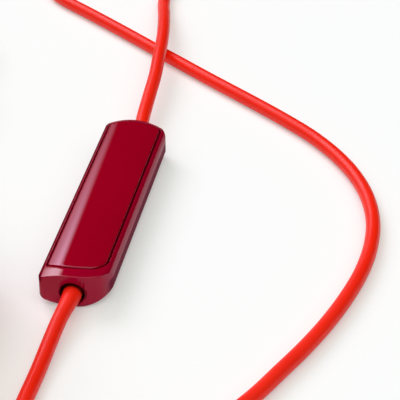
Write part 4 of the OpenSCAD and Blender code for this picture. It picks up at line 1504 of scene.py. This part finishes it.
# ---------- Remote ----------
@dataclass
class Remote:
    """The in-line remote: a housing in two halves with one long button in its top."""

    outer: Outline = Outline(
        -0.0047, 0.0047, 0.0202, 0.0202, (0.0009, 0.00055, 0.0009, 0.0044),
        near_bow=0.0, far_bow=0.00095, bow_x=-0.0006, bow_half=0.0047,
    )
    window: Outline = Outline(
        -0.0042, 0.00395, 0.01835, 0.01975, (0.00045, 0.0003, 0.00045, 0.002),
        near_bow=0.00125, far_bow=0.00095, bow_x=-0.0006, bow_half=0.0047,
    )
    cavity: Outline = Outline(-0.0034, 0.0034, 0.0153, 0.0153, (0.0002,) * 4)
    top: CrownedTop = CrownedTop(0.00515, 0.0143, 0.0047, 0.0001, 0.0012, 0.0042, 0.51)
    seam_h: float = 0.0019
    shelf_h: float = 0.0038
    rim_inset: float = 0.0003
    rim_shares: tuple[float, ...] = (0.2, 0.4, 0.6, 0.8)
    end_edge_r: float = 0.00015
    near_fall: float = 0.00007
    window_edge_r: float = 0.00012
    foot_edge_r: float = 0.0005
    hollow_insets: tuple[float, ...] = (0.0033, 0.0026, 0.0018, 0.0009, 0.0)
    sole_from: float = 0.0011
    sole_step: float = 0.0005
    sole_rings: int = 8
    belly_r: float = 0.012101
    belly_mid: float = 0.01206
    base_t: float = 0.0007
    left_gap: float = 0.0002
    right_gap: float = 0.00026
    near_gap: float = 0.00028
    far_gap: float = 0.00008
    button_edge_r: float = 0.0002
    crown_from: float = 0.0003
    crown_step: float = 0.00025
    crown_rings: int = 15
    button_base_h: float = 0.00415
    boss_r: float = 0.0013
    boss_h: float = 0.0035
    boss_sink: float = 0.0001
    boss_sides: int = 32
    entry_h: float = 0.00235
    mouth_drop: float = 0.0001
    bore_sides: int = 56
    post_y: float = 0.01
    post_r: float = 0.0008
    post_h: float = 0.0015
    post_sides: int = 24
    hole_y: float = -0.008
    hole_r: float = 0.0004

    def level(self, outline: Outline, inset: float, height: float) -> Ring:
        """A ring at one height."""
        return [Vector((x, y, height)) for x, y in outline.points(inset)]

    def on_top(self, spots: list[Spot], below: float, ends_only: bool = False) -> Ring:
        """A ring on the crowned top, or a little below it.

        Args:
            spots: The ring's points, seen from above.
            below: How far below the top the ring lies.
            ends_only: Whether it lies below it only where the outline faces the ends.

        Returns:
            The ring.
        """
        ring = []
        for i, (x, y) in enumerate(spots):
            before, after = spots[i - 1], spots[(i + 1) % len(spots)]
            along = Vector((after[0] - before[0], after[1] - before[1]))
            share = abs(along.x) / max(along.length, HAIR / 100) if ends_only else 1.0
            gone = (-y - self.window.near) / (self.outer.near - self.window.near)
            fall = self.near_fall * min(max(gone, 0.0), 1.0)
            ring.append(Vector((x, y, self.top.height(x) - fall - below * share)))
        return ring

    def upper(self) -> bpy.types.Object:
        """The upper half, with the button's window in it.

        Returns:
            The upper half.
        """
        rings = [self.level(self.outer, 0.0, self.seam_h)]
        for inset in edge_insets(self.rim_inset, EDGE_STEPS + 1):
            rings.append(self.on_top(self.outer.points(inset), drop(inset, self.end_edge_r), True))
        rim, brink = self.outer.points(self.rim_inset), self.window.points(-self.window_edge_r)
        for share in self.rim_shares:
            pairs = zip(rim, brink, strict=True)
            mixed = [(p[0] + (q[0] - p[0]) * share, p[1] + (q[1] - p[1]) * share) for p, q in pairs]
            rings.append(self.on_top(mixed, 0.0))
        for inset in reversed(edge_insets(self.window_edge_r, EDGE_STEPS // 2)):
            rings.append(self.on_top(self.window.points(-inset), drop(inset, self.window_edge_r)))
        rings += [self.level(self.window, 0.0, self.shelf_h), self.level(self.cavity, 0.0, self.shelf_h)]
        rings.append(self.level(self.cavity, 0.0, self.seam_h))
        piece = Skin().loop(rings).piece("remote_upper")
        cut_out(piece, self.bores())
        return settle(piece, SHELL_CRIMSON, "remote_upper_shell")

    def belly(self, x: float, wall: float = 0.0) -> float:
        """Height of the rounded underside at a place across it, or of its inner face behind a wall."""
        return max(self.belly_mid - math.sqrt((self.belly_r - wall) ** 2 - x**2), 0.0)

    def lower(self) -> bpy.types.Object:
        """The lower half, with the board's posts and the sound hole.

        Returns:
            The lower half.
        """
        rings = []
        for inset in self.hollow_insets:
            rings.append([Vector((x, y, self.belly(x, self.base_t))) for x, y in self.cavity.points(inset)])
        rings += [self.level(self.cavity, 0.0, self.seam_h), self.level(self.outer, 0.0, self.seam_h)]
        edge = [(inset, drop(inset, self.foot_edge_r)) for inset in edge_insets(self.foot_edge_r, EDGE_STEPS)]
        sole = [(self.sole_from + self.sole_step * i, 0.0) for i in range(self.sole_rings)]
        for inset, rise in edge + sole:
            rings.append([Vector((x, y, self.belly(x) + rise)) for x, y in self.outer.points(inset)])
        skin = Skin().solid(rings)
        for y in (-self.post_y, self.post_y):
            pillar(skin, y, self.post_r, (self.base_t / 2, self.post_h), self.post_sides)
        piece = skin.piece("remote_lower")
        down = Matrix.Translation((0, self.hole_y, 0)) @ turn(90, "Y")
        drill = [(-self.post_h, self.hole_r), (self.seam_h, self.hole_r)]
        hole = lathe("hole", drill, down, self.post_sides)
        cut_out(piece, [*self.bores(), hole])
        return settle(piece, SHELL_CRIMSON, "remote_lower_shell")

    def bores(self) -> list[bpy.types.Object]:
        """Shapes of the recesses that the cord enters through: a soft bell mouth near, a plain one far.

        Returns:
            The shapes.
        """
        near = [
            (0.0152, 0.0), (0.0152, 0.0012), (0.0186, 0.0012), (0.0186, 0.00165),
            (0.0198, 0.00165, 0.0004), (0.0202, 0.0018), (0.0206, 0.0022), (0.0206, 0.0),
        ]
        far = [
            (0.0152, 0.0), (0.0152, 0.0012), (0.0188, 0.0012), (0.0188, 0.0013), (0.02, 0.0013),
            (0.0202, 0.0014), (0.0206, 0.0018), (0.0206, 0.0),
        ]
        near_place = aimed((0, 0, self.entry_h - self.mouth_drop), -90)
        far_place = aimed((0, 0, self.entry_h), 90)
        return [
            lathe("near_bore", eased(near, 0.0002), near_place, self.bore_sides),
            lathe("far_bore", eased(far, 0.0001), far_place, self.bore_sides),
        ]

    def button(self) -> bpy.types.Object:
        """The long button with its boss.

        Returns:
            The button.
        """
        window = self.window
        plate = replace(
            window, left=window.left + self.left_gap, right=window.right - self.right_gap,
            near=window.near - self.near_gap, far=window.far - self.far_gap,
        )
        rings = [self.level(plate, 0.0, self.button_base_h)]
        for inset in edge_insets(self.button_edge_r, EDGE_STEPS):
            rings.append(self.on_top(plate.points(inset), drop(inset, self.button_edge_r)))
        inner = [self.crown_from + self.crown_step * i for i in range(self.crown_rings)]
        rings += [self.on_top(plate.points(inset), 0.0) for inset in inner]
        skin = Skin().solid(rings)
        pillar(skin, 0.0, self.boss_r, (self.boss_h, self.button_base_h + self.boss_sink), self.boss_sides)
        return settle(skin.piece("button"), BUTTON_CRIMSON, "button_plate", body=Body.BUTTON)

    def build(self) -> None:
        """Builds the whole remote and dresses what is inside it."""
        self.upper()
        self.lower()
        self.button()
        inside = {
            "switch_plunger": BLACK_PLASTIC, "switch_body": TINNED_STEEL, "microphone": TINNED_STEEL,
            "remote_board": BOARD_GREEN, "cord_anchor_near": DARK_RUBBER, "cord_anchor_far": DARK_RUBBER,
        }
        for name, finish in inside.items():
            dress_node(name, finish)


# ---------- Pieces on the cords ----------
@dataclass(frozen=True)
class Relief:
    """A tapered rubber strain relief with three grooves."""

    thick: float
    length: float
    thin: float = 0.003
    grooves: int = 3
    depth: float = 0.00025
    edge_r: float = 0.0005

    def build(self, name: str, place: Matrix, node: str) -> bpy.types.Object:
        """Builds the relief.

        Args:
            name: The piece's name.
            place: Its thick end's middle, with x towards its thin end.
            node: The CAD node that it stands for.

        Returns:
            The piece.
        """
        count = 2 * self.grooves + 1
        step = self.length / count
        profile: list[Corner] = [(0.0, 0.0)]
        for i in range(count + 1):
            r = (self.thick + (self.thin - self.thick) * i / count) / 2
            profile += [(i * step - step / 4, r), (i * step, r - self.depth)] if i % 2 else [(i * step, r)]
        profile.append((self.length, 0.0))
        return settle(lathe(name, eased(profile, self.edge_r), place), RELIEF_RUBBER, node)


@dataclass(frozen=True)
class Tie:
    """A rubber band round a coil's turns."""

    coil: Coil
    angle: float
    thickness: float = 0.0004
    width: float = 0.004
    gap: float = 0.0003
    corner_r: float = 0.0012
    edge_r: float = 0.00012

    def band(self, radius: float, inset: float, side: float) -> Ring:
        """A ring round the turns.

        Args:
            radius: The cord's radius.
            inset: How far in from the band's outside it lies.
            side: Its place along the cord.

        Returns:
            The ring.
        """
        reach = radius + self.gap + self.thickness - inset
        inner = self.coil.outer - self.coil.pitch * self.coil.per_layer - reach
        outer = self.coil.outer + reach
        low, high = inset, self.coil.top() + reach
        r = self.corner_r - inset
        right, left, upper, lower = outer - r, inner + r, high - r, low + r
        corners = ((right, upper), (left, upper), (left, lower), (right, lower))
        spots = [spot for i, at in enumerate(corners) for spot in arc(at, r, 90 * i, 90 * i + 90, EDGE_STEPS)]
        return [Vector((x, side, z)) for x, z in spots]

    def build(self, name: str, radius: float, node: str) -> bpy.types.Object:
        """Builds the band.

        Args:
            name: The piece's name.
            radius: The cord's radius.
            node: The CAD node that it stands for.

        Returns:
            The piece.
        """
        half, e = self.width / 2, self.edge_r
        insets = edge_insets(e, EDGE_STEPS // 2)
        outside = [(i, half - e + math.sqrt(max(e**2 - (e - i) ** 2, 0.0))) for i in insets]
        inside = [(self.thickness, half)]
        profile = [(i, -y) for i, y in reversed(outside)] + outside + inside + [(i, -y) for i, y in inside]
        place = aimed((*self.coil.centre, 0.0), self.angle)
        piece = Skin().loop([self.band(radius, i, y) for i, y in profile]).piece(name, BAND_CREASE, place)
        return settle(piece, TIE_RUBBER, node)


@dataclass
class Splitter:
    """The block where the two branches run together into the main cord."""

    at: Point = (-0.009, -0.0741, 0.0)
    turn: float = -90.0
    outline: Outline = Outline(-0.0045, 0.0045, 0.008, 0.008, (0.0026,) * 4, middle=(0.0, -0.008))
    core: Outline = Outline(-0.0029, 0.0029, 0.00655, 0.00655, (0.0002,) * 4, middle=(0.0, -0.00855))
    top: CrownedTop = CrownedTop(0.0056, 0.0117, 0.0045, 0.0, 0.0)
    mid_h: float = 0.0028
    core_half_h: float = 0.0015
    edge_r: float = 0.0006
    crown_from: float = 0.0011
    crown_step: float = 0.00048
    crown_rings: int = 8
    socket_sides: int = 40
    branch_pitch: float = 0.0032
    socket_r: float = 0.0012
    boot: Relief = Relief(0.0046, 0.006)

    def sockets(self) -> list[bpy.types.Object]:
        """Shapes of the two sockets that the branches go into.

        Returns:
            The shapes.
        """
        profile = eased([
            (-0.002, 0.0), (-0.002, self.socket_r), (-0.0003, self.socket_r), (0.0, 0.00135),
            (0.0004, 0.0017), (0.0004, 0.0),
        ], 0.0002)
        place = aimed(self.at, self.turn) @ Matrix.Translation((0, 0, self.mid_h))
        ways = [aimed((side * self.branch_pitch / 2, 0, 0), 90) for side in (-1, 1)]
        return [lathe("socket", profile, place @ way, self.socket_sides) for way in ways]

    def half(self, half: Half, name: str, node: str) -> bpy.types.Object:
        """One half of the block.

        Args:
            half: Which half.
            name: The piece's name.
            node: The CAD node that it stands for.

        Returns:
            The piece.
        """

        def ring(outline: Outline, inset: float, rise: float | None) -> Ring:
            """A ring at a rise above the seam, or on the crowned face where the rise is None.

            Args:
                outline: The ring's outline.
                inset: How far inside it the ring lies.
                rise: Its rise above the seam, or None.

            Returns:
                The ring.
            """
            points = []
            for x, y in outline.points(inset):
                face = self.top.height(x) - drop(inset, self.edge_r) - self.mid_h
                points.append(Vector((x, y, self.mid_h + half.value * (face if rise is None else rise))))
            return points

        rings = [ring(self.core, 0.0, self.core_half_h), ring(self.core, 0.0, 0.0)]
        rings.append(ring(self.outline, 0.0, 0.0))
        inner = [self.crown_from + self.crown_step * i for i in range(self.crown_rings)]
        insets = edge_insets(self.edge_r, EDGE_STEPS) + inner
        rings += [ring(self.outline, inset, None) for inset in insets]
        piece = Skin().solid(rings).piece(name, place=aimed(self.at, self.turn))
        cut_out(piece, self.sockets())
        return settle(piece, CRIMSON, node)

    def build(self) -> list[bpy.types.Object]:
        """Builds the splitter.

        Returns:
            The upper half and the lower half.
        """
        upper = self.half(Half.UPPER, "splitter_upper", "splitter_upper_shell")
        lower = self.half(Half.LOWER, "splitter_lower", "splitter_lower_shell")
        back = aimed(self.at, self.turn) @ Matrix.Translation((0, 2 * self.outline.middle[1], self.mid_h))
        self.boot.build("splitter_relief", back @ turn(-90), "splitter_boot")
        dress_node("splitter_core", DARK_RUBBER)
        return [upper, lower]


@dataclass
class Plug:
    """The plug: relief, grip, metal collar and four gold contacts."""

    at: Point = (-0.0346, 0.004, 0.0038)
    boot: Relief = Relief(0.0048, 0.01)
    grip_r: float = 0.0038
    grip_l: float = 0.018
    end_r: float = 0.001
    grooves: int = 5
    groove: float = 0.0003
    groove_r: float = 0.0016
    collar_r: float = 0.0031
    collar_l: float = 0.0015
    collar_edge_r: float = 0.00015
    jack_r: float = 0.00175
    core_r: float = 0.00075
    contact_gap: float = 0.00005
    contact_edge_r: float = 0.0001
    band_sink: float = 0.00003
    sleeve_l: float = 0.0046
    ring_l: float = 0.0022
    band_l: float = 0.0006
    tip_l: float = 0.0032
    tip_r: float = 0.0009

    def place(self, along: float) -> Matrix:
        """A place on the plug's axis, with x towards its tip."""
        return aimed((self.at[0], self.at[1] + along, self.at[2]), 90)

    def grip(self, start: float) -> bpy.types.Object:
        """The grip with its finger grooves.

        Args:
            start: Where it starts along the plug.

        Returns:
            The grip.
        """
        r, e = self.grip_r, self.end_r
        pitch = (self.grip_l - 4 * e) / self.grooves
        profile: list[Corner] = [(0.0, 0.0), (0.0, r, e)]
        for i in range(self.grooves):
            x = 2 * e + pitch * i
            low = r - self.groove
            profile += [(x, r), (x + pitch / 4, low), (x + pitch / 2, low), (x + pitch * 3 / 4, r)]
        profile += [(self.grip_l, r, e), (self.grip_l, 0.0)]
        piece = lathe("plug_grip_moulding", eased(profile, self.groove_r), self.place(start))
        return settle(piece, CRIMSON, "plug_grip")

    def contact(self, name: str, start: float, length: float, node: str) -> None:
        """Builds a tubular contact.

        Args:
            name: The piece's name.
            start: Where it starts along the plug.
            length: Its length.
            node: The CAD node that it stands for.
        """
        r, c, e = self.jack_r, self.core_r + self.contact_gap, self.contact_edge_r
        profile = [(0.0, c), (0.0, r, e), (length, r, e), (length, c), (0.0, c)]
        settle(lathe(name, hollow(profile, 0.0), self.place(start)), GOLD, node)

    def build(self) -> bpy.types.Object:
        """Builds the plug.

        Returns:
            The grip.
        """
        along = self.boot.length
        self.boot.build("plug_relief", self.place(along) @ turn(180), "plug_boot")
        grip = self.grip(along)
        along += self.grip_l
        collar = eased(rod(self.collar_l, self.collar_r), self.collar_edge_r)
        piece = lathe("plug_collar_ring", collar, self.place(along))
        settle(piece, BRIGHT_METAL, "plug_collar")
        along += self.collar_l
        core, first, band_r = Skin(), along, self.jack_r - self.band_sink
        for name, length, node in (
            ("contact_sleeve", self.sleeve_l, "jack_sleeve"),
            ("contact_inner_ring", self.ring_l, "jack_ring_inner"),
            ("contact_outer_ring", self.ring_l, "jack_ring_outer"),
        ):
            self.contact(name, along, length, node)
            along += length
            turned(core, rod(self.band_l, band_r), self.place(along))
            along += self.band_l
        turned(core, rod(along - first, self.core_r), self.place(first))
        settle(core.piece("contact_insulator"), BLACK_PLASTIC, "jack_insulator")
        form = ((0, 0), (0, 1), (0.12, 1), (0.34, 0.8), (0.56, 1), (0.8, 0.8), (1, 0.4), (1, 0))
        tip = eased([(x * self.tip_l, r * self.jack_r) for x, r in form], self.tip_r)
        settle(lathe("contact_tip", tip, self.place(along)), GOLD, "jack_tip")
        return grip


# ---------- Earbuds ----------
@dataclass
class Earbud:
    """An in-ear earbud with its silicone ear tip, made along +X with its relief towards -Y."""

    side: str
    place: BudPlace
    tip_body: Body
    boot: Relief = Relief(0.0042, 0.01)
    sides: int = 72

    def back(self) -> None:
        """The back shell with the stem that carries the relief."""
        frame_axes = self.place.matrix()
        shell = [
            (-0.0054, 0.0), (-0.0054, 0.0056, 0.0019), (0.0, 0.0056, 0.0001), (0.0, 0.0047),
            (-0.001, 0.0047), (-0.001, 0.0041), (-0.0045, 0.0041), (-0.0045, 0.003), (-0.0024, 0.003),
            (-0.0024, 0.0),
        ]
        skin = turned(Skin(), eased(shell, 0.00002, 8), frame_axes)
        stem = [
            (0.0048, 0.0), (0.0048, 0.0026), (0.0056, 0.0023, 0.001), (0.0072, 0.0023, 0.00015),
            (0.0072, 0.0),
        ]
        turned(skin, eased(stem, 0.0), frame_axes @ aimed((self.place.stem_x, 0, 0), -90))
        settle(skin.piece(f"{self.side}_bud_back"), CRIMSON, f"{self.side}_bud_back_shell")

    def ring(self) -> None:
        """The bright trim ring."""
        profile = [
            (0.0, 0.0047), (0.0, 0.00572, 0.0001), (0.0008, 0.00572, 0.0001), (0.0008, 0.0047),
            (0.0, 0.0047),
        ]
        piece = lathe(f"{self.side}_bud_ring", hollow(profile, 0.0), self.place.matrix(), self.sides)
        settle(piece, BRIGHT_METAL, f"{self.side}_bud_trim_ring")

    def front(self) -> None:
        """The front shell with its nozzle."""
        profile = [
            (0.0008, 0.0047), (0.0008, 0.0056, 0.00012), (0.0022, 0.0056, 0.0009),
            (0.005, 0.0025, 0.0004), (0.0078, 0.0025), (0.00825, 0.0027), (0.0087, 0.0027),
            (0.0094, 0.0025), (0.0096, 0.0023), (0.0096, 0.0016), (0.0041, 0.0016), (0.0019, 0.0047),
            (0.0008, 0.0047),
        ]
        piece = lathe(f"{self.side}_bud_front", hollow(profile, 0.00015), self.place.matrix(), self.sides)
        settle(piece, CRIMSON, f"{self.side}_bud_front_shell")

    def tip(self) -> None:
        """The silicone ear tip."""
        profile = [
            (0.0053, 0.00275), (0.0053, 0.00355, 0.0002), (0.009, 0.00355, 0.0006),
            (0.0062, 0.0048, 0.0012), (0.0046, 0.0053, 0.0002), (0.0046, 0.006, 0.0003),
            (0.0058, 0.00584), (0.0074, 0.00528), (0.0092, 0.0044), (0.0106, 0.0034), (0.0114, 0.0026),
            (0.0116, 0.00228, 0.0002), (0.0115, 0.002, 0.0002), (0.0099, 0.002), (0.0099, 0.00275),
            (0.0053, 0.00275),
        ]
        piece = lathe(f"{self.side}_tip_dome", hollow(profile, 0.003), self.place.matrix(), self.sides)
        settle(piece, TIP_SILICONE, f"{self.side}_ear_tip", body=self.tip_body)

    def build(self) -> None:
        """Builds the whole earbud and dresses what is inside it."""
        self.back()
        self.ring()
        self.front()
        self.tip()
        stem_end = self.place.matrix() @ aimed((self.place.stem_x, -self.place.stem_reach, 0), -90)
        self.boot.build(f"{self.side}_bud_relief", stem_end, f"{self.side}_bud_boot")
        inside = {
            "driver_frame": BLACK_PLASTIC, "magnet": BRIGHT_METAL, "diaphragm": FILM, "mesh": MESH_STEEL,
        }
        for name, finish in inside.items():
            dress_node(f"{self.side}_bud_{name}", finish)


def main() -> None:
    """Builds every sub-assembly in order."""
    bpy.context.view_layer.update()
    studio = Studio(glows=SKY)
    studio.place_camera()
    cords = Cords()
    cords.right_upper(RIGHT_PLACE.cord_end(), RIGHT_PLACE.cord_way())
    cords.right_lower()
    root = cords.flare()
    cords.left(LEFT_PLACE.cord_end(), LEFT_PLACE.cord_way())
    cords.main()
    Remote().build()
    upper, lower = Splitter().build()
    grip = Plug().build()
    Earbud("right", RIGHT_PLACE, Body.RIGHT_TIP).build()
    Earbud("left", LEFT_PLACE, Body.LEFT_TIP).build()
    radius = cords.diameter / 2
    right_tie = Tie(cords.right_coil, 180).build("right_tie_band", radius, "right_coil_tie")
    left_tie = Tie(cords.left_coil, 0).build("left_tie_band", radius, "left_coil_tie")
    main_tie = Tie(cords.main_coil, 60).build("main_tie_band", radius, "main_coil_tie")
    right = ["right_cord_lower", "right_coil", "right_cord_tail"]
    left = ["left_cord_upper", "left_coil", "left_cord_tail"]
    spare = ["main_cord_lead", "main_coil", "main_cord_tail"]
    cords.declare("right_branch_upper", "object", "loose", ["right_cord_upper"])
    cords.declare("right_branch_lower", "fitting", "coiled", right, root, right_tie, upper)
    cords.declare("left_branch", "fitting", "coiled", left, left_tie, lower)
    cords.declare("main_cord", "plug", "coiled", spare, main_tie, grip)
    studio.lay_floor()
    studio.light_sky()


if __name__ == "__main__":
    logging.basicConfig(level=logging.INFO, format="%(message)s")
    main()
